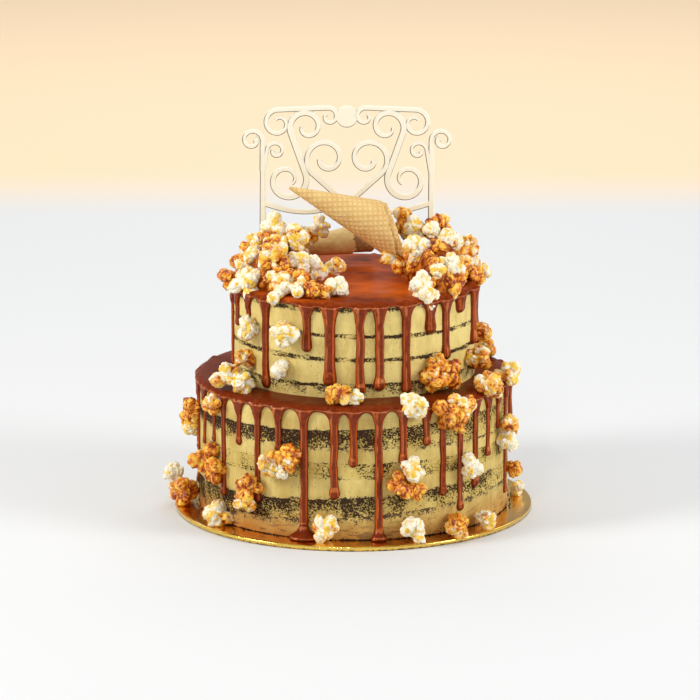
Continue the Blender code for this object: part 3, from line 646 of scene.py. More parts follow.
def make_board(settings):
    """The board, with eased edges and foil that puckers where it is folded under."""
    low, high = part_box("board")
    radius, top = -low.y, high.z
    ease = 0.9 * MM
    profile = [(radius - 6 * ease, 0.0)]
    for i in range(7):
        angle = math.radians(-90 + 30 * i)
        middle = ease if i < 3 else top - ease
        profile.append((radius - ease + ease * math.cos(angle), middle + ease * math.sin(angle)))
    profile.append((radius - 4 * ease, top))
    profile.append((radius - 20 * ease, top))
    rings = []
    for k in range(ROUND):
        azimuth = 360 * k / ROUND
        ring = []
        for i, (out, height) in enumerate(profile):
            pucker = 0.22 * MM * noise.noise(Vector((azimuth * 1.7, i * 0.4, 0.0))) if 0 < i < 8 else 0.0
            ring.append(polar(azimuth, out + min(pucker, 0.0), height))
        rings.append(ring)
    piece = mesh_piece("cake_board", *loft(list(zip(*rings))), foil_material(settings))
    tidy_mesh(piece, 50)
    dress(piece, "gold_board", "board")


def cream_colour(net, settings, place):
    """Buttercream from place to place: soft drag marks, thin spots, painted shade over the lower tier, and
    browner and scraped at the foot, the brown being a painted reflection of the gold board and painted
    shade.

    The colour comes with the drag marks, the sweeps round the tier and the broad blotches it is made of.
    """
    x, y, z = net.split(place)
    warp = net.noise(place, 14.0 * MM) * (8.0 * MM)
    drag = net.noise(net.join(x + warp, y, z * 0.22), 3.2 * MM, 3.0, 0.6)
    sweep = net.noise(net.join(x * 0.2, y * 0.2, z + warp * 0.3), 2.4 * MM)
    broad = net.noise(place, 22.0 * MM, 3.0)
    # painted shade: the cream below the lower tier's top is painted darker
    lower = 1.0 - (z / (SHADE_HEIGHT * MM)).rise(0.95, 1.05)
    shade = ((broad - 0.5) * 2.2 + (drag - 0.5) * 1.1 + lower * 0.5 + 0.18).clamp()
    colour = net.mix(shade, settings.cream, settings.cream_shade)
    # painted reflection of the gold board and painted shade: the cream turns browner towards the board
    foot = (1.0 - z / (FOOT_HEIGHT * MM)).clamp()
    # painted shade: the foot is browner still towards -X
    left = (0.0 - x / (115.0 * MM)).clamp()
    colour = net.mix((foot * (0.28 + broad * 1.1 + left * 0.75)).clamp(), colour, settings.cream_foot)
    scrape = (sweep + foot * 0.10).rise(0.62, 0.72) * foot * 0.7
    return net.mix(scrape.clamp(), colour, shade_of(settings.crumb, 1.8)), drag, sweep, broad


def grains(net, place):
    """Grainy noise that both the bared sponge and the crumbs smeared off it are cut from."""
    x, y, z = net.split(place)
    return net.noise(net.join(x, y, z * 1.3), 1.45 * MM, 2.0, 0.8)


def cream_material(settings):
    """Spread buttercream: drag lines, stray crumbs, and a smear of crumbs beside each band."""
    net = Finish("buttercream")
    place = net.place()
    colour, drag, sweep, broad = cream_colour(net, settings, place)
    grain = grains(net, place)
    patch = net.noise(place, 8.0 * MM)
    smear = net.attribute("smear")
    foot = (1.0 - net.split(place)[2] / (FOOT_HEIGHT * MM)).clamp()
    reach = smear * (0.22 + (patch - 0.5) * 0.7) + (patch - 0.5) * 0.22 + foot * 0.05
    specks = (grain + reach).rise(0.68, 0.71)
    dirty = net.mix(smear * 0.2, colour, settings.cream_shade)
    colour = net.mix(specks * 0.9, dirty, settings.crumb)
    height = drag * 0.7 + sweep * 0.15 + broad * 0.8 - specks * 0.4
    return net.done(Base_Color=colour, Roughness=0.5 + drag * 0.15, Specular_IOR_Level=0.3,
                    Normal=net.bump(height, 0.6 * MM))


def crumb_material(settings, name, cover, patchy, fade, slant):
    """Bared sponge with cream dragged over it: cover veils all of it, fade its lower part.

    Slant veils it more towards +X and less towards -X.
    """
    net = Finish(name)
    place = net.place()
    colour, drag, _, _ = cream_colour(net, settings, place)
    grain = grains(net, place)
    patch = net.noise(place, 14.0 * MM, 3.0)
    low = (1.0 - net.attribute("rise")).rise(0.2, 1.1)
    side = net.split(place)[0] / (100.0 * MM)
    bare = (grain - cover - side * slant - low * fade - (patch - 0.5) * patchy).rise(0.47, 0.52)
    pores = net.noise(place, 0.9 * MM)
    # painted shade in the sponge's pores: darker where the bump is low
    dark = net.mix(pores.rise(0.35, 0.7), shade_of(settings.crumb, 0.4), settings.crumb)
    veil = net.mix(0.12, colour, settings.cream_shade)
    normal = net.bump(pores * 0.5 - bare * 0.7 + drag * 0.5, 0.6 * MM)
    return net.done(Base_Color=net.mix(bare * 0.95, veil, dark), Roughness=0.6 + bare * 0.3,
                    Specular_IOR_Level=0.05, Normal=normal)


def layer_tree():
    """A round layer with wavering edges and an uneven side, whose points know how high they lie."""
    net = Grower("cake_layer", Radius=float, Low=float, Low_climb=float, Low_waver=float, High=float,
                 High_climb=float, High_waver=float, Relief=float, Pits=float, Smear_under=float,
                 Smear_over=float, Sides=int, Steps=int)
    radius = net.given("Radius")
    tube = net.node("GeometryNodeMeshCylinder", {"fill_type": "NGON"},
                    {"Vertices": net.given("Sides"), "Side Segments": net.given("Steps"),
                     "Radius": radius, "Depth": 1.0})
    x, y, z = net.split(net.node("GeometryNodeInputPosition"))

    def edge(name):
        """The height of an edge of the layer over this point of its plan."""
        height = net.given(name)
        wave = net.noise(net.join(x, y, height * 3.0), 9.0 * MM, 5.0, 0.75) - 0.5
        return height + net.given(name + " climb") * x + wave * net.given(name + " waver")

    low, high, part = edge("Low"), edge("High"), z + 0.5
    up = low + (high - low) * part
    spot = net.join(x, y, up)
    broad = net.noise(spot, 45.0 * MM) - 0.5
    drag = net.noise(net.join(x, y, up * 0.05), 6.0 * MM) - 0.5
    pits = net.noise(spot, 1.8 * MM, 3.0, 0.65) - 0.55
    out = 1.0 + ((broad * 2.0 + drag * 0.5) * net.given("Relief") + pits * net.given("Pits")) / radius
    under = (1.0 - (high - up) / (net.given("Smear under") + 0.00001)).clamp()
    over = (1.0 - (up - low) / (net.given("Smear over") + 0.00001)).clamp()
    marked = net.store(tube, "rise", part)
    marked = net.store(marked, "smear", under.maths("MAXIMUM", under, over))
    return net.close(net.node("GeometryNodeSetPosition", None,
                              {"Geometry": marked, "Position": net.join(x * out, y * out, up)}))


def layer_edges(name):
    """(height, climb towards +X) of a layer's lower and upper edge, from the rim of its solid."""
    corners = [v.co for v in frame["nodes"][name].data.vertices]
    reach = max(v.x for v in corners)
    right = [v.z for v in corners if v.x > 0.999 * reach]
    left = [v.z for v in corners if v.x < -0.999 * reach]
    found = []
    for pick in (min, max):
        found.append(((pick(right) + pick(left)) / 2, (pick(right) - pick(left)) / (2 * reach)))
    return found


def make_tiers(settings):
    """Every layer of both tiers, each met by the next along one wavering line."""
    tree = layer_tree()
    cream = cream_material(settings)
    line = crumb_material(settings, "crumb_line", *LINE_VEIL)
    for tier, radius in (("lower", settings.lower_radius), ("upper", settings.upper_radius)):
        names = [name for name in frame["nodes"] if name.startswith(tier + "_")]
        names.sort(key=lambda name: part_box(name)[1].z)
        edges = [layer_edges(name) for name in names]
        for i, name in enumerate(names):
            low = edges[i][0] if i == 0 else edges[i - 1][1]
            high = edges[i][1]
            under, over = SMEARS.get(name, (0.0, 0.0))
            spread = "cream" in name
            thin = high[0] - low[0] < LINE_HEIGHT * MM
            values = {
                "Radius": radius, "Low": low[0], "Low climb": low[1], "High": high[0],
                "High climb": high[1], "Low waver": 0.0 if i == 0 else EDGE_WAVER * MM,
                "High waver": 0.0 if i == len(names) - 1 else EDGE_WAVER * MM,
                "Relief": LAYER_RELIEF * MM, "Pits": LAYER_PITS * MM,
                "Smear under": under * MM, "Smear over": over * MM,
                "Sides": round(math.tau * radius / settings.mesh_step),
                "Steps": max(3, round((high[0] - low[0]) / settings.mesh_step)),
            }
            if spread:
                values["Material"] = cream
            elif thin:
                values["Material"] = line
            else:
                values["Material"] = crumb_material(settings, "crumb_" + name, *VEILS[name])
            piece = run_tree("spread_" + name, tree, values)
            piece.data.set_sharp_from_angle(angle=math.radians(50))
            dress(piece, "buttercream" if spread else "dark_sponge", name)


# ---------------------------------------------------------------- caramel

def caramel_material(settings, name, glow):
    """Glossy caramel: deep where it is thick, lighter along the thin sides of the drips and on the flat.
    The lighter sides are partly thin caramel and partly painted highlight; painted highlights also run down
    each drip and along the lip's bead.

    Glow says how much lighter the flat is; where it is low, the flat is painted darker instead, as painted
    shade on the ledge.
    """
    net = Finish(name)
    place = net.place()
    x, y, z = net.split(place)
    blotch = net.noise(place, 34.0 * MM)
    fine = net.noise(place, 3.5 * MM)
    out_x, out_y, up = net.facing()
    flat = up.rise(0.6, 0.98)
    reach = net.vector("LENGTH", net.join(x, y, 0.0), out="Value")
    turned = (out_y * x - out_x * y) / reach
    aside = abs(turned)
    upright = 1.0 - abs(up).rise(0.3, 0.5)
    # lighter along the thin sides of each drip: partly thin caramel that light shines through, partly a
    # painted highlight
    side = aside.rise(0.5, 0.62) * (1.0 - aside.rise(0.74, 0.86)) * upright
    # a painted highlight running down the left of each drip
    highlight_streak = turned.rise(-0.55, -0.4) * (1.0 - turned.rise(-0.28, -0.14)) * upright
    # where glow is low the flat is painted darker, towards half the deep colour: painted shade on the ledge
    deep = net.mix(flat * (1.0 - glow) * 0.8, settings.deep, shade_of(settings.deep, 0.5))
    middle = (1.0 - reach / (75.0 * MM)).clamp() * 0.5
    part = flat * (blotch * 2.4 - 0.70 + middle) * glow + (fine - 0.35) * 0.5 * (1.0 - flat)
    part = part + side * (0.2 + blotch * 0.7)
    colour = net.mix(part.clamp(), deep, settings.thin)
    gleam = net.noise(net.join(x, y, z * 0.4), 5.0 * MM, 1.0).rise(0.4, 0.6)
    outward = (out_x * x + out_y * y) / reach
    # a painted highlight along the upper side of the lip's bead
    bead = up.rise(0.12, 0.22) * (1.0 - up.rise(0.34, 0.48)) * outward.rise(0.5, 0.8)
    # the streak and the bead line are painted highlights in one light colour, broken up by gleam
    colour = net.mix((highlight_streak * gleam * 0.55 + bead * 0.45).clamp(), colour, srgb(222, 132, 76))
    normal = net.bump(fine + blotch, 0.2 * MM)
    shine = 0.05 + 0.28 * (1.0 - up.rise(0.3, 0.8)) + flat * (blotch.rise(0.5, 0.6)) * 0.1
    return net.done(Base_Color=colour, Roughness=0.3, Specular_IOR_Level=0.02, Coat_Weight=shine,
                    Coat_Roughness=0.06, Normal=normal)


def rear_drips(step, tips, seed):
    """Drips behind, spaced and sized like those in front."""
    draw = random.Random(seed)
    found = []
    azimuth = REAR_START
    while azimuth < REAR_END - 4:
        found.append((azimuth + draw.uniform(-2, 2), draw.uniform(4.4, 7.0), draw.choice(tips)))
        azimuth += step + draw.uniform(-2, 2)
    return found


def lip_low(azimuth, radius, top, drips):
    """Lower edge of the lip: an arch between drips that runs down into each of them."""
    hang = 0.0
    for centre, width, _ in drips:
        away = abs((azimuth - centre + 180) % 360 - 180) * math.radians(1) * radius
        hang = max(hang, LIP_HANG * math.exp(-(max(0.0, away - 0.35 * width) / LIP_FADE) ** 1.1))
    waver = 0.7 * noise.noise(Vector((azimuth * 0.09, radius, 0.0)))
    return top - 2.2 - hang + waver


def pool_points(radius, top, inner, drips):
    """Cross-sections, all round the tier, of a pool with a rounded lip. Its sizes are in millimetres."""
    columns = []
    for k in range(ROUND):
        azimuth = 360 * k / ROUND
        low = lip_low(azimuth, radius, top, drips)
        column = [
            (inner, top - 0.8), (inner, top + POOL), (0.5 * (inner + radius), top + POOL),
            (radius - 7.0, top + POOL), (radius - 2.0, top + 0.92 * POOL),
            (radius + 0.5, top + 0.5 * POOL), (radius + 0.7 * LIP_OUT, top - 0.8),
            (radius + 0.75 * LIP_OUT, 0.6 * top + 0.4 * low), (radius + 1.1 * LIP_OUT, low + 2.2),
            (radius + 1.0 * LIP_OUT, low + 0.6), (radius + 0.4, low - 0.2), (radius - 1.0, low + 0.5),
            (radius - 1.0, top - 0.8),
        ]
        columns.append([polar(azimuth, out, height) * MM for out, height in column])
    return columns


def drip_strand(radius, top, azimuth, width, tip):
    """Points and radii of one drip, from the pool over the lip to the bulb at its tip.

    Its sizes are in millimetres.
    """
    half = 0.5 * width * DRIP_SPREAD
    sunk = -0.04 * width
    bulb = ((2.6, 0.86), (1.7, 0.92), (1.0, 1.12), (0.6, 1.14), (0.28, 0.85), (0.06, 0.35))
    bend = [(sunk, tip + up * width, thick) for up, thick in bulb if tip + up * width < top - 4.0]
    funnel = ((7.0, 1.2), (11.0, 0.98), (16.0, 0.88))
    stops = [(-6.0, top + 0.4, 0.55), (-1.5, top - 0.1, 0.9), (sunk, top - 3.0, 1.45)]
    stops += [(sunk, top - down, thick) for down, thick in funnel if top - down > bend[0][1] + 2.0]
    high, low = stops[-1], bend[0]
    steps = max(1, int((high[1] - low[1]) / 6.0))
    for i in range(1, steps):
        part = i / steps
        stops.append((sunk, high[1] + (low[1] - high[1]) * part, high[2] + (low[2] - high[2]) * part))
    stops += bend
    points, radii = [], []
    for out, height, thick in stops:
        wander = 0.9 * noise.noise(Vector((azimuth, height * 0.06, 3.0)))
        swell = 1.0 + 0.2 * noise.noise(Vector((azimuth, height * 0.12, 9.0)))
        points.append(polar(azimuth + math.degrees(wander / radius), radius + out, height) * MM)
        radii.append(half * thick * swell * MM)
    return points, radii


def drip_tree():
    """Tubes along paths, as thick as their points say."""
    net = Grower("drips", Sides=int)
    path = net.node("GeometryNodeMeshToCurve", None, {"Mesh": net.given("Geometry")})
    ring = net.node("GeometryNodeCurvePrimitiveCircle", None,
                    {"Resolution": net.given("Sides"), "Radius": 1.0})
    return net.close(net.node("GeometryNodeCurveToMesh", None,
                              {"Curve": path, "Profile Curve": ring, "Scale": net.named("thick", "FLOAT"),
                               "Fill Caps": True}))


def make_caramel(settings):
    """Pool, lip, drips and puddles of each tier, run together into one skin."""
    tree = drip_tree()
    upper = UPPER_DRIPS + rear_drips(UPPER_REAR_STEP, UPPER_REAR_TIPS, REAR_SEED)
    lower = LOWER_DRIPS + rear_drips(LOWER_REAR_STEP, LOWER_REAR_TIPS, REAR_SEED + 1)
    ledge = radius_of("upper_cream_1") - 1.0
    for name, layer, drips, inner, glow in (
            ("caramel_upper", "upper_cream_5", upper, 0.0, UPPER_GLOW),
            ("caramel_lower", "lower_cream_4", lower, ledge, LOWER_GLOW)):
        radius, top = radius_of(layer), top_of(layer)
        pool = mesh_piece(name + "_pool",
                          *loft(pool_points(radius, top, inner, drips), closed_run=True))
        if not inner:
            tidy_mesh(pool, merge=0.01 * MM)
        paths, edges, thick = [], [], []
        for drip in drips:
            strand, radii = drip_strand(radius, top, *drip)
            edges += [(len(paths) + i, len(paths) + i + 1) for i in range(len(strand) - 1)]
            paths += strand
            thick += radii
        lines = bpy.data.meshes.new(name + "_paths")
        lines.from_pydata([tuple(p) for p in paths], edges, [])
        give_values(lines, "thick", thick)
        material = caramel_material(settings, name, glow)
        strands = run_tree(name + "_strands", tree, {"Sides": 14, "Material": material}, lines)
        parts = [pool, strands]
        parts += [puddle(radius, azimuth, PUDDLES[azimuth]) for azimuth, _, _ in drips
                  if azimuth in PUDDLES]
        piece = run_together("poured_" + name, parts, settings.voxel)
        roll_pool(piece, top)
        piece.data.materials.clear()
        piece.data.materials.append(material)
        dress(piece, "caramel_glaze", name)


def puddle(radius, azimuth, width):
    """Where a drip meets the board it spreads into a low mound."""
    out = radius + 0.5
    rings = []
    for height, part in PUDDLE_RINGS:
        ring = []
        for i in range(PUDDLE_ROUND):
            angle = math.tau * i / PUDDLE_ROUND
            side = 0.5 * width * part * math.cos(angle)
            deep = out + 0.42 * width * part * math.sin(angle) + 1.0
            ring.append(polar(azimuth + math.degrees(side / out), deep, top_of("board") + height) * MM)
        rings.append(ring)
    return mesh_piece("puddle", *loft(rings))


def run_together(name, parts, voxel):
    """One smooth skin over overlapping closed shapes."""
    bm = bmesh.new()
    for part in parts:
        bm.from_mesh(part.data)
    bmesh.ops.recalc_face_normals(bm, faces=bm.faces)
    mesh = bpy.data.meshes.new(name)
    bm.to_mesh(mesh)
    bm.free()
    drop(parts)
    piece = stand(name, mesh)
    remesh = piece.modifiers.new("merge", "REMESH")
    remesh.mode = "VOXEL"
    remesh.voxel_size = voxel
    soften = piece.modifiers.new("soften", "SMOOTH")
    soften.factor = 0.5
    soften.iterations = 4
    keep_result(piece)
    piece.data.shade_smooth()
    return piece


def roll_pool(piece, top):
    """Slow ripples on the flat of a pool, along the way it was spread."""
    points = read_points(piece.data)
    for i in np.nonzero(points[:, 2] > (top + 0.6) * MM)[0]:
        x, y = points[i, :2] / MM
        out = math.hypot(x, y)
        turn = math.atan2(y, x)
        ripple = noise.noise(Vector((out * 0.11, 1.6 * math.cos(turn), 1.6 * math.sin(turn))))
        points[i, 2] += POOL_RIPPLE * MM * ripple
    write_points(piece.data, points)


# ---------------------------------------------------------------- popcorn

def popcorn_material(settings):
    """Popped corn, bare, buttery or under toffee, by how much coat each kernel has, with painted shade in
    the creases of bare corn.
    """
    net = Finish("caramel_popcorn")
    place = net.place()
    coat = net.attribute("coat")
    crease = net.attribute("crease")
    blotch = net.noise(place, 11.0 * MM)
    stain = net.noise(place, 4.5 * MM)
    dots = net.cells(place, 4.0 * MM)
    fine = net.noise(place, 1.2 * MM)
    coated = blotch + (coat - 0.66) * 0.95 + crease * 0.08
    glaze = coated.rise(0.475, 0.51)
    yellow = (stain + coat * 0.18 + crease * 0.05 - dots * 0.14).rise(0.47, 0.62)
    # painted shade in the creases of bare corn
    bare = net.mix(crease * 0.5, settings.bare, srgb(226, 204, 146))
    bare = net.mix(yellow * 0.95, bare, settings.butter)
    depth = (stain * 2.2 + crease * 1.0 + coat * 0.6 + fine * 0.15 - 1.46).clamp()
    sugar = net.mix(depth.rise(0.0, 0.45), srgb(255, 206, 78), settings.toffee)
    sugar = net.mix(depth.rise(0.4, 0.9), sugar, settings.burnt)
    rim = (coated.rise(0.43, 0.475) - glaze).clamp()
    colour = net.mix(rim * 0.75, net.mix(glaze, bare, sugar), srgb(224, 138, 40))
    normal = net.bump(fine * (1.0 - glaze * 0.5) + stain * 0.8 + glaze * 0.4, 0.7 * MM)
    return net.done(Base_Color=colour, Roughness=0.5 - glaze * 0.2, Specular_IOR_Level=0.15,
                    Coat_Weight=glaze * 0.5, Coat_Roughness=0.08, Normal=normal)


def random_ways(draw, count):
    """Rows of unit length that point anywhere."""
    found = draw.normal(size=(count, 3))
    return found / np.linalg.norm(found, axis=1)[:, None]


def kernel_shape(index):
    """A popped kernel about 1 across: lobes that burst from its middle, with smaller bumps on them."""
    draw = np.random.default_rng(KERNEL_SEED + index)
    mesh = ball("kernel_%02d" % index, 5, Vector.normalized)
    ways = np.array([vert.co[:] for vert in mesh.vertices])

    def burst(middles, swell, base):
        """Distance from the middle to the outermost of some balls, along each way, and the next one."""
        along = ways @ middles.T
        inside = swell ** 2 - (middles ** 2).sum(1) + along ** 2
        reach = np.where(inside > 0, along + np.sqrt(np.maximum(inside, 0)), 0)
        reach = np.concatenate([reach, base[:, None]], axis=1)
        reach.sort(axis=1)
        return reach[:, -1], reach[:, -2]

    count = int(draw.integers(5, 9))
    lobes = random_ways(draw, count) * draw.uniform(0.36, 0.66, count)[:, None]
    far, near = burst(lobes, draw.uniform(0.32, 0.52, count), np.full(len(ways), 0.40))
    crease = np.exp(-(far - near) / 0.05)
    heads = random_ways(draw, BUMPS)
    seat = far[np.argmax(heads @ ways.T, axis=1)]
    bumps = heads * (seat * draw.uniform(0.80, 0.92, BUMPS))[:, None]
    far, near = burst(bumps, draw.uniform(0.15, 0.29, BUMPS), far)
    crease = np.maximum(crease, 0.8 * np.exp(-(far - near) / 0.025))
    folds = [noise.noise(Vector(way) * 2.6 + Vector((index, 0, 0))) for way in ways]
    crumple = [noise.noise(Vector(way) * 9.0 + Vector((0, index, 0))) for way in ways]
    far = far * (1.0 - 0.2 * np.exp(-np.abs(folds) / 0.06)) * (1.0 + 0.1 * np.array(crumple))
    crease = np.maximum(crease, np.exp(-np.abs(folds) / 0.07))
    squash = draw.uniform(0.82, 1.0, 3)
    points = ways * far[:, None] * squash
    points /= 2 * np.percentile(np.linalg.norm(points, axis=1), 80)
    write_points(mesh, points)
    give_values(mesh, "crease", crease)
    shape = bpy.data.objects.new(mesh.name, mesh)
    shape.modifiers.new("thin", "DECIMATE").ratio = 0.5
    return shape


def kernel_library():
    """A collection of kernel shapes, for the scatter tree to pick from."""
    shelf = bpy.data.collections.new("kernels")
    bpy.context.scene.collection.children.link(shelf)
    for index in range(KERNEL_SHAPES):
        shape = kernel_shape(index)
        shelf.objects.link(shape)
        keep_result(shape)
    return shelf


def scatter_tree():
    """Puts a picked shape on each point, turned and sized as the point says."""
    net = Grower("scatter", Shapes="collection")
    shapes = net.node("GeometryNodeCollectionInfo", None,
                      {"Collection": net.given("Shapes"), "Separate Children": True,
                       "Reset Children": True})
    return net.close(net.node("GeometryNodeInstanceOnPoints", None, {
        "Points": net.given("Geometry"), "Instance": shapes, "Pick Instance": True,
        "Instance Index": net.named("shape", "INT"), "Rotation": net.named("turn", "FLOAT_VECTOR"),
        "Scale": net.named("size", "FLOAT")}))


def scatter(name, tree, shelf, spots, material, seed):
    """Kernels at spots (x, y, height, size, coat) in millimetres, as one mesh."""
    draw = np.random.default_rng(seed)
    count = len(spots)
    table = np.array(spots, dtype=float)
    mesh = bpy.data.meshes.new(name)
    mesh.from_pydata((table[:, :3] * MM).tolist(), [], [])
    give_values(mesh, "shape", draw.integers(0, len(shelf.objects), count), "INT")
    give_values(mesh, "turn", draw.uniform(0, math.tau, count * 3), "FLOAT_VECTOR")
    give_values(mesh, "size", table[:, 3] * MM)
    give_values(mesh, "coat", table[:, 4])
    return run_tree(name, tree, {"Shapes": shelf, "Material": material}, mesh)


def kernel_middle(seat, azimuth, place, size):
    """Where a kernel's middle lies in millimetres, from what it leans on or stands on."""
    if seat == "free":
        return polar(azimuth, *place)
    if seat in ("upper", "lower"):
        side = radius_of(seat + "_cream_1")
        return polar(azimuth, side + KERNEL_SINK * size, place)
    floor = top_of("lower_cream_4") + POOL if seat == "ledge" else top_of("board")
    return polar(azimuth, place, floor + KERNEL_SINK * size)


def rest_on(piece, height):
    """Flattens what would reach below a height in millimetres."""
    points = read_points(piece.data)
    points[:, 2] = np.maximum(points[:, 2], (height - 0.1) * MM)
    write_points(piece.data, points)


def make_clusters(settings, tree, shelf, material):
    """Every cluster of kernels on the sides, the ledge and the board."""
    for number, (name, kernels) in enumerate(CLUSTERS.items()):
        spots = []
        for seat, azimuth, place, size, coat in kernels:
            spots.append((*kernel_middle(seat, azimuth, place, size), size * KERNEL_SWELL, coat))
        piece = scatter("kernels_" + name, tree, shelf, spots, material, settings.seed + number)
        if kernels[0][0] == "board":
            rest_on(piece, top_of("board"))
        dress(piece, "caramel_popcorn", name)


def core_material(settings):
    """Set toffee between the kernels of a heap."""
    net = Finish("toffee_core")
    place = net.place()
    lumps = net.noise(place, 5.0 * MM, 3.0)
    colour = net.mix(lumps.rise(0.4, 0.8), shade_of(settings.burnt, 0.6), settings.toffee)
    return net.done(Base_Color=colour, Roughness=0.4, Specular_IOR_Level=0.1,
                    Coat_Weight=0.12, Normal=net.bump(lumps, 1.5 * MM))


def core_point(way, middle, reach, floor):
    """Where a point of a round ball goes on a heap's lumpy core."""
    lump = 1.0 + 0.12 * noise.noise(way * 4.0)
    place = [middle[k] + way[k] * reach[k] * lump for k in range(3)]
    place[2] = max(place[2], floor + 0.5)
    return Vector(place) * MM


def make_heaps(settings, tree, shelf, material):
    """Both heaps: the kernels that show, drawn ones in their gaps and behind, and a lumpy toffee core."""
    core_look = core_material(settings)
    floor = top_of("upper_cream_5")
    for name, core, heap in (("popcorn_heap_left", LEFT_CORE, LEFT_HEAP),
                             ("popcorn_heap_right", RIGHT_CORE, RIGHT_HEAP)):
        draw = np.random.default_rng(settings.seed + len(heap))
        middle, reach = np.array(core["middle"]), np.array(core["reach"])
        spots = list(heap)
        for count, stretch, clear, back, sizes, coats in (HEAP_FILL, HEAP_REAR):
            wanted = len(spots) + count
            while len(spots) < wanted:
                way = random_ways(draw, 1)[0]
                spot = middle + way * reach * stretch
                if spot[2] > floor + clear and way[1] > back:
                    spots.append((*spot, draw.uniform(*sizes), draw.uniform(*coats)))
        kernels = scatter("kernels_" + name, tree, shelf, spots, material, settings.seed + len(heap))
        dress(kernels, "caramel_popcorn", name)
        piece = stand("core_" + name, ball("core_" + name, 5,
                                           lambda way: core_point(way, middle, reach, floor)))
        piece.data.materials.append(core_look)
        tidy_mesh(piece)
        dress(piece, "caramel_popcorn", name)


# ---------------------------------------------------------------- cones

def wafer_material(settings, name, contrast):
    """Baked wafer, browner on its pressed ridges and in blotches, with painted shade where the ridge marks
    pass 1: on an inner turn that lies in shadow and in a line just past the outer turn's edge.
    """
    net = Finish(name)
    place = net.place()
    ridge = net.attribute("ridge")
    blotch = net.noise(place, 12.0 * MM)
    grain = net.noise(place, 0.9 * MM)
    brown = (ridge * contrast + blotch * 0.8 + grain * 0.4 - 0.4).clamp()
    colour = net.mix(brown, settings.wafer, settings.wafer_brown)
    # painted shade where the marks pass 1, which also browns the wafer above
    colour = net.mix((ridge - 1.0).clamp() * 0.7, colour, srgb(110, 66, 34))
    return net.done(Base_Color=colour, Roughness=0.7, Normal=net.bump(grain, 0.25 * MM))


def make_cone(settings, name, cone):
    """A rolled cone with a pressed grid; the outer turn ends raggedly and the inner one runs on."""
    start = Vector(cone["tip"])
    along = (Vector(cone["aim"]) - start).normalized()
    across = along.cross(Vector((0, 0, 1))).normalized()
    down = along.cross(across).normalized()
    if down.z > 0:
        down.negate()
    taper, tip_radius, pitch, emboss = (cone[key] for key in ("taper", "tip_radius", "pitch", "emboss"))
    slant = math.sqrt(1 + taper * taper)

    def reach(angle, distance, lean, inset, ragged):
        """Distance along the axis at which a slanted end crosses the cone, with a torn edge."""
        rise = lean * math.cos(angle)
        tear = noise.noise(Vector((math.cos(angle) * 3, math.sin(angle) * 3, distance)))
        tear += 1.2 * noise.noise(Vector((math.cos(angle) * 14, math.sin(angle) * 14, distance)))
        return (distance + rise * (tip_radius - inset)) / (1 - rise * taper) + ragged * tear

    def ridge(distance, angle):
        """1 on the pressed lines of the grid that the flat wafer had before it was rolled."""
        out = distance * slant + tip_radius / taper
        turn = angle * taper / slant
        u, v = out * math.cos(turn), out * math.sin(turn)
        lines = 0.0
        for value in ((u + v) / math.sqrt(2), (u - v) / math.sqrt(2)):
            off = abs(value / pitch % 1.0 - 0.5) * pitch
            lines = max(lines, math.exp(-(off / 0.8) ** 2))
        return lines

    rings, marks = [], []

    def add_ring(kind, part):
        ring = []
        for i in range(CONE_ROUND):
            angle = math.tau * i / CONE_ROUND
            outer = reach(angle, cone["outer_end"], cone["outer_lean"], 0.0, 1.6)
            inner = reach(angle, cone["inner_end"], cone["inner_lean"], CONE_STEP, 0.6)
            mark = 0.0
            if kind == "outer":
                s = outer * part
                mark = ridge(s, angle)
                r = tip_radius + taper * s + emboss * (mark - 0.5) * min(1.0, 12 * part)
                mark *= min(1.0, 40 * (1 - part))
            elif kind == "inner":
                s = outer + (inner - outer) * part
                mark = ridge(s, angle)
                r = tip_radius + taper * s - CONE_STEP + emboss * (mark - 0.5) * (1 - part ** 8)
                # painted shade: the cone's shade darkens an inner turn in the other cone's shadow, and a
                # dark line runs just past the outer turn's edge
                mark += cone["shade"] + 0.8 * math.exp(-6.0 * part)
            else:
                s = inner - part
                r = tip_radius + taper * s - CONE_STEP - CONE_WALL
                mark = 0.6
            spoke = down * math.cos(angle) + across * math.sin(angle)
            ring.append((start + along * s + spoke * max(r, 0.2)) * MM)
            marks.append(mark)
        rings.append(ring)

    for kind, steps in (("outer", round(cone["outer_end"] / CONE_GRAIN)), ("inner", CONE_INNER_RINGS)):
        for k in range(steps + 1):
            add_ring(kind, k / steps)
    for depth in (0.0, CONE_RECESS):
        add_ring("mouth", depth)
    piece = mesh_piece("rolled_" + name, *loft(rings), wafer_material(settings, name, cone["contrast"]))
    # the ridge values carry both the pressed grid and the painted shade
    give_values(piece.data, "ridge", marks)
    tidy_mesh(piece, 60)
    dress(piece, "wafer", name)


# ---------------------------------------------------------------- topper

def topper_material(settings):
    """Cream-white sheet whose cut edges are painted dark where they look left or down: painted shade."""
    net = Finish("cut_sheet")
    x, y, z = net.facing()
    face = abs(y).rise(0.8, 0.95)
    # painted shade on the cut edges that look left or down
    lit = (z * 0.8 + x * 0.4).rise(-0.25, 0.35)
    edge = net.mix(lit, settings.topper_edge_shade, settings.topper)
    tint = net.noise(net.place(), 30.0 * MM, 1.0)
    front = net.mix(tint * 0.15, settings.topper, settings.wafer)
    return net.done(Base_Color=net.mix(face, edge, front), Roughness=0.32 + tint * 0.08,
                    Specular_IOR_Level=0.4)


def curl(middle, outer, start, sweep, turn):
    """Points from the outside of a curl to its eye."""
    inner = CURL_EYE * outer
    steps = max(8, round(sweep / 9.0))
    points = []
    for i in range(1, steps + 1):
        part = i / steps
        angle = math.radians(start + turn * sweep * part)
        radius = outer + (inner - outer) * part ** 1.3
        points.append((middle[0] + radius * math.cos(angle), middle[1] + radius * math.sin(angle)))
    return points


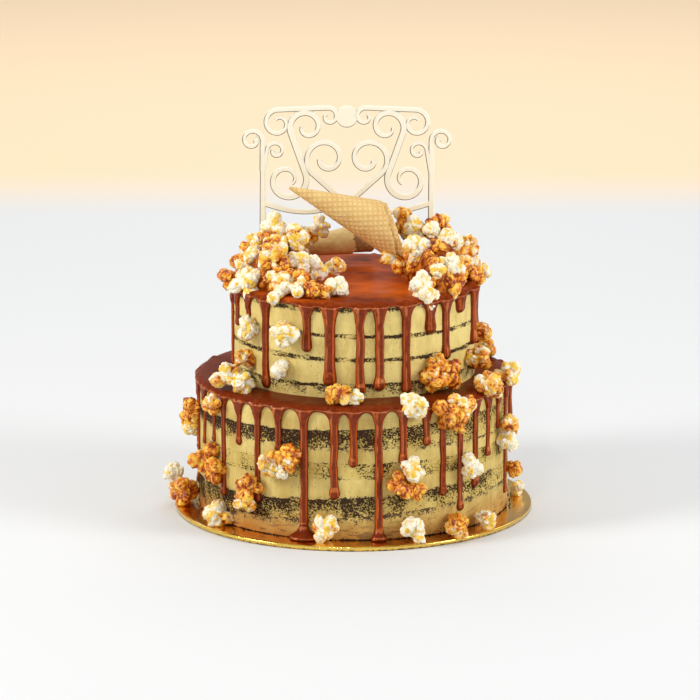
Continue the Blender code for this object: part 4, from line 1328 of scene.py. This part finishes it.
def scroll(first, second):
    """A stroke between two curls, straight along their common tangent.

    Each end is (middle, radius, turn, sweep), with a radius of 0 for a plain end. Turn is the way round
    the stroke runs at that end, 1 for anticlockwise, on its way from the first end to the second.
    """
    (a, radius_a, turn_a, sweep_a), (b, radius_b, turn_b, sweep_b) = first, second
    run = Vector((b[0] - a[0], b[1] - a[1]))
    lean = math.asin((turn_a * radius_a - turn_b * radius_b) / run.length)
    heading = math.atan2(run.y, run.x) + lean
    side = (math.sin(heading), -math.cos(heading))
    leave = (a[0] + turn_a * radius_a * side[0], a[1] + turn_a * radius_a * side[1])
    meet = (b[0] + turn_b * radius_b * side[0], b[1] + turn_b * radius_b * side[1])
    points = [(leave[0] + (meet[0] - leave[0]) * i / 8, leave[1] + (meet[1] - leave[1]) * i / 8)
              for i in range(9)]
    if radius_a:
        start = math.degrees(math.atan2(turn_a * side[1], turn_a * side[0]))
        points = curl(a, radius_a, start, sweep_a, -turn_a)[::-1] + points
    if radius_b:
        start = math.degrees(math.atan2(turn_b * side[1], turn_b * side[0]))
        points = points + curl(b, radius_b, start, sweep_b, turn_b)
    return points


def plain(x, z):
    """An end of a scroll that doesn't curl."""
    return ((x, z), 0.0, 0, 0.0)


def filigree():
    """The strokes right of the middle: (points, width at the ends, width in between)."""
    stops = [STAKE_OFFSET * i / 30 for i in range(-1, 31)]
    dip = [(x, SWAG_HEIGHT - SWAG_SAG * math.sin(math.pi * x / STAKE_OFFSET)) for x in stops]
    return [
        (scroll(plain(0, 9), ((15.5, 43), 15.0, 1, 400)), THICK, THICK - 0.8),
        (scroll(((30, 67), 12.5, -1, 380), ((44.5, 27), 14.5, 1, 420)), THIN, THICK + 0.4),
        (scroll(plain(STAKE_OFFSET, 34), ((70.5, 57), 7.7, -1, 400)), THICK, THICK - 1.4),
        (scroll(((13.5, 75), 6.5, -1, 330), ((51, 70), 10.0, -1, 400)), THIN, THICK - 0.8),
        (scroll(plain(STAKE_OFFSET, 30), ((53, 49), 6.5, 1, 360)), THICK - 0.8, THIN + 0.4),
        (dip, THICK, THICK - 0.8),
    ]


def sheet_ring(left, right, thickness):
    """Eight points round a cut strip, in the topper's plane, with slightly eased corners."""
    x0, y0 = TOPPER_MIDDLE
    half, ease = thickness / 2, 0.6
    across = Vector((right[0] - left[0], 0.0, right[1] - left[1]))
    inset = across.normalized() * ease
    a = Vector((x0 + left[0], y0, TOPPER_FOOT + left[1]))
    b = Vector((x0 + right[0], y0, TOPPER_FOOT + right[1]))
    near, far = Vector((0, -half, 0)), Vector((0, half, 0))
    near_edge, far_edge = Vector((0, ease - half, 0)), Vector((0, half - ease, 0))
    return [(p * MM) for p in (a + inset + near, b - inset + near, b + near_edge, b + far_edge,
                               b - inset + far, a + inset + far, a + far_edge, a + near_edge)]


def cut(name, rings):
    made = mesh_piece(name, *loft(rings))
    tidy_mesh(made)
    return made


def strip(points, end_width, mid_width, thickness):
    """A cut strip of varying width along the points."""
    count = len(points)
    rings = []
    for i, point in enumerate(points):
        before, after = points[max(i - 1, 0)], points[min(i + 1, count - 1)]
        run = Vector((after[0] - before[0], after[1] - before[1])).normalized()
        half = (end_width + (mid_width - end_width) * math.sin(math.pi * i / (count - 1))) / 2
        left = (point[0] - run.y * half, point[1] + run.x * half)
        right = (point[0] + run.y * half, point[1] - run.x * half)
        rings.append(sheet_ring(left, right, thickness))
    return cut("strip", rings)


def bead(middle, radius, thickness):
    """A round bead: a strip across a circle, from its left to its right."""
    rings = []
    for i in range(BEAD_STEPS + 1):
        angle = math.pi * (1 - (i + 0.02) / (BEAD_STEPS + 0.04))
        x, z = middle[0] + radius * math.cos(angle), radius * math.sin(angle)
        rings.append(sheet_ring((x, middle[1] + z + 0.26), (x, middle[1] - z - 0.26), thickness))
    return cut("bead", rings)


def make_topper(settings):
    """Both halves of the scrollwork, its beads and its stakes as one cut sheet."""
    whole = settings.topper_thickness / MM
    pieces = []
    for side in (1, -1):
        for points, end_width, mid_width in filigree():
            turned = [(side * x, z) for x, z in points]
            pieces.append(strip(turned, end_width, mid_width, whole - 0.02 * len(pieces)))
    pieces.append(bead((0, 75), BEAD_RADIUS, whole - 0.3))
    pieces.append(bead((0, 9), 0.8 * BEAD_RADIUS, whole - 0.32))
    foot = STAKE_BOTTOM - TOPPER_FOOT
    for side in (-1, 1):
        run = [(side * STAKE_OFFSET, z) for z in (foot, foot + 8, STAKE_HEIGHT - TOPPER_FOOT)]
        pieces.append(strip(run, STAKE_WIDTH * 0.6, STAKE_WIDTH, whole + 0.02 * side))
    piece = pieces.pop()
    piece.name = "cut_topper"
    group = bpy.data.collections.new("strips")
    for other in pieces:
        group.objects.link(other)
    bpy.context.scene.collection.children.link(group)
    union = piece.modifiers.new("union", "BOOLEAN")
    union.operand_type = "COLLECTION"
    union.operation = "UNION"
    union.collection = group
    union.solver = "EXACT"
    keep_result(piece)
    drop(pieces)
    bpy.data.collections.remove(group)
    piece.data.validate()
    piece.data.materials.clear()
    piece.data.materials.append(topper_material(settings))
    piece.data.shade_smooth()
    piece.data.set_sharp_from_angle(angle=math.radians(28))
    dress(piece, "topper_acrylic", "topper")


# ---------------------------------------------------------------- crumbs

def make_crumbs(settings, tree):
    """Loose crumbs at the foot of the cake and on the board."""
    shelf = bpy.data.collections.new("crumbs")
    bpy.context.scene.collection.children.link(shelf)
    for index in range(CRUMB_SHAPES):
        start = Vector((index * 7.0, 0, 0))
        mesh = ball("crumb_%d" % index, 2,
                    lambda way: way * (0.5 + 0.225 * noise.noise(way * 1.5 + start)))
        shelf.objects.link(bpy.data.objects.new(mesh.name, mesh))
    draw = np.random.default_rng(CRUMB_SEED)
    floor, radius = top_of("board"), settings.lower_radius / MM
    spots = []
    for _ in range(CRUMBS):
        size = draw.uniform(*CRUMB_SIZES)
        out = radius + 0.3 + abs(draw.normal()) * 2.0
        spots.append((*polar(draw.uniform(0, 360), out, floor + 0.35 * size), size, 0.0))
    net = Finish("loose_crumbs")
    grain = net.noise(net.place(), 0.7 * MM)
    colour = net.mix(grain.rise(0.35, 0.65), shade_of(settings.crumb, 0.5), settings.crumb)
    material = net.done(Base_Color=colour, Roughness=0.9, Normal=net.bump(grain, 0.2 * MM))
    piece = scatter("loose_crumbs", tree, shelf, spots, material, seed=3)
    drop(list(shelf.objects))
    bpy.data.collections.remove(shelf)
    dress(piece, "dark_sponge")


# ---------------------------------------------------------------- studio

def make_stage(settings):
    """A wide pale floor that turns peach far behind, soft lights, and the camera at the photo's angle."""
    corners = [(x * FLOOR_HALF, y * FLOOR_HALF, -FLOOR_SINK)
               for x, y in ((-1, -1), (1, -1), (1, 1), (-1, 1))]
    net = Finish("studio_floor")
    behind = net.split(net.place())[1].rise(*PEACH_FROM_TO)
    floor = net.done(Base_Color=net.mix(behind, settings.floor, settings.far_floor), Roughness=0.9,
                     Specular_IOR_Level=0.1)
    mesh_piece("studio_floor", corners, [(0, 1, 2, 3)], floor)
    for name, place, aim, size, power, colour in LAMPS:
        light = bpy.data.lights.new(name, "AREA")
        light.shape = "RECTANGLE"
        light.size, light.size_y = size
        light.energy = power
        light.color = colour
        lamp = stand(name, light)
        lamp.location = place
        lamp.rotation_euler = (Vector(aim) - Vector(place)).to_track_quat("-Z", "Y").to_euler()
    world = bpy.data.worlds.new("studio")
    bpy.context.scene.world = world
    world.use_nodes = True
    sky = world.node_tree.nodes["Background"].inputs
    sky["Color"].default_value, sky["Strength"].default_value = SKY
    view = bpy.context.scene.view_settings
    view.view_transform = "Standard"
    view.look = "None"
    camera = bpy.data.cameras.new("photo_camera")
    camera.lens, camera.sensor_width = CAMERA_LENS
    camera.clip_end = 30.0
    made = stand("photo_camera", camera)
    aim = Vector((CAMERA_SHIFT, 0.0, settings.camera_height))
    lean = math.radians(CAMERA_ELEVATION)
    made.location = aim + settings.camera_distance * Vector((0, -math.cos(lean), math.sin(lean)))
    made.rotation_euler = (math.radians(90 - CAMERA_ELEVATION), 0.0, 0.0)
    bpy.context.scene.camera = made


# ---------------------------------------------------------------- operators

class CAKE_OT_stage(bpy.types.Operator):
    """Add the studio: floor, lights and camera"""

    bl_idname = "cake.stage"
    bl_label = "Studio"

    def execute(self, context):
        make_stage(context.scene.cake_trimmings)
        return {"FINISHED"}


class CAKE_OT_board(bpy.types.Operator):
    """Add the gold board"""

    bl_idname = "cake.board"
    bl_label = "Board"

    def execute(self, context):
        make_board(context.scene.cake)
        return {"FINISHED"}


class CAKE_OT_tiers(bpy.types.Operator):
    """Add both tiers, layer by layer"""

    bl_idname = "cake.tiers"
    bl_label = "Tiers"

    def execute(self, context):
        make_tiers(context.scene.cake)
        return {"FINISHED"}


class CAKE_OT_caramel(bpy.types.Operator):
    """Pour the caramel over both tiers"""

    bl_idname = "cake.caramel"
    bl_label = "Caramel"

    def execute(self, context):
        make_caramel(context.scene.cake_caramel)
        return {"FINISHED"}


class CAKE_OT_popcorn(bpy.types.Operator):
    """Add the clusters and the heaps of popcorn"""

    bl_idname = "cake.popcorn"
    bl_label = "Popcorn"

    def execute(self, context):
        settings = context.scene.cake_popcorn
        tree, shelf, material = scatter_tree(), kernel_library(), popcorn_material(settings)
        make_clusters(settings, tree, shelf, material)
        make_heaps(settings, tree, shelf, material)
        drop(list(shelf.objects))
        bpy.data.collections.remove(shelf)
        return {"FINISHED"}


class CAKE_OT_crumbs(bpy.types.Operator):
    """Scatter loose crumbs on the board"""

    bl_idname = "cake.crumbs"
    bl_label = "Crumbs"

    def execute(self, context):
        make_crumbs(context.scene.cake, scatter_tree())
        return {"FINISHED"}


class CAKE_OT_cones(bpy.types.Operator):
    """Add both wafer cones"""

    bl_idname = "cake.cones"
    bl_label = "Cones"

    def execute(self, context):
        settings = context.scene.cake_trimmings
        make_cone(settings, "cone_long", LONG_CONE)
        make_cone(settings, "cone_short", SHORT_CONE)
        return {"FINISHED"}


class CAKE_OT_topper(bpy.types.Operator):
    """Add the scrollwork topper"""

    bl_idname = "cake.topper"
    bl_label = "Topper"

    def execute(self, context):
        make_topper(context.scene.cake_trimmings)
        return {"FINISHED"}


OPERATORS = (CAKE_OT_stage, CAKE_OT_board, CAKE_OT_tiers, CAKE_OT_caramel, CAKE_OT_popcorn,
             CAKE_OT_crumbs, CAKE_OT_cones, CAKE_OT_topper)
SETTINGS = {"cake": CakeSettings, "cake_caramel": CaramelSettings, "cake_popcorn": PopcornSettings,
            "cake_trimmings": TrimmingsSettings}


class CAKE_PT_panel(bpy.types.Panel):
    """Buttons and settings for every piece of the cake"""

    bl_idname = "CAKE_PT_panel"
    bl_label = "Caramel Drip Cake"
    bl_space_type = "VIEW_3D"
    bl_region_type = "UI"
    bl_category = "Cake"

    def draw(self, context):
        for operator in OPERATORS:
            self.layout.operator(operator.bl_idname)
        for name, group in SETTINGS.items():
            box = self.layout.box()
            for label in group.__annotations__:
                box.prop(getattr(context.scene, name), label)


def register():
    for kind in (*SETTINGS.values(), *OPERATORS, CAKE_PT_panel):
        bpy.utils.register_class(kind)
    for name, group in SETTINGS.items():
        setattr(bpy.types.Scene, name, PointerProperty(type=group))


def unregister():
    for name in SETTINGS:
        delattr(bpy.types.Scene, name)
    for kind in reversed((*SETTINGS.values(), *OPERATORS, CAKE_PT_panel)):
        bpy.utils.unregister_class(kind)


def main():
    """Registers everything and makes every piece in turn."""
    register()
    for operator in OPERATORS:
        group, name = operator.bl_idname.split(".")
        getattr(getattr(bpy.ops, group), name)()


if __name__ == "__main__":
    main()
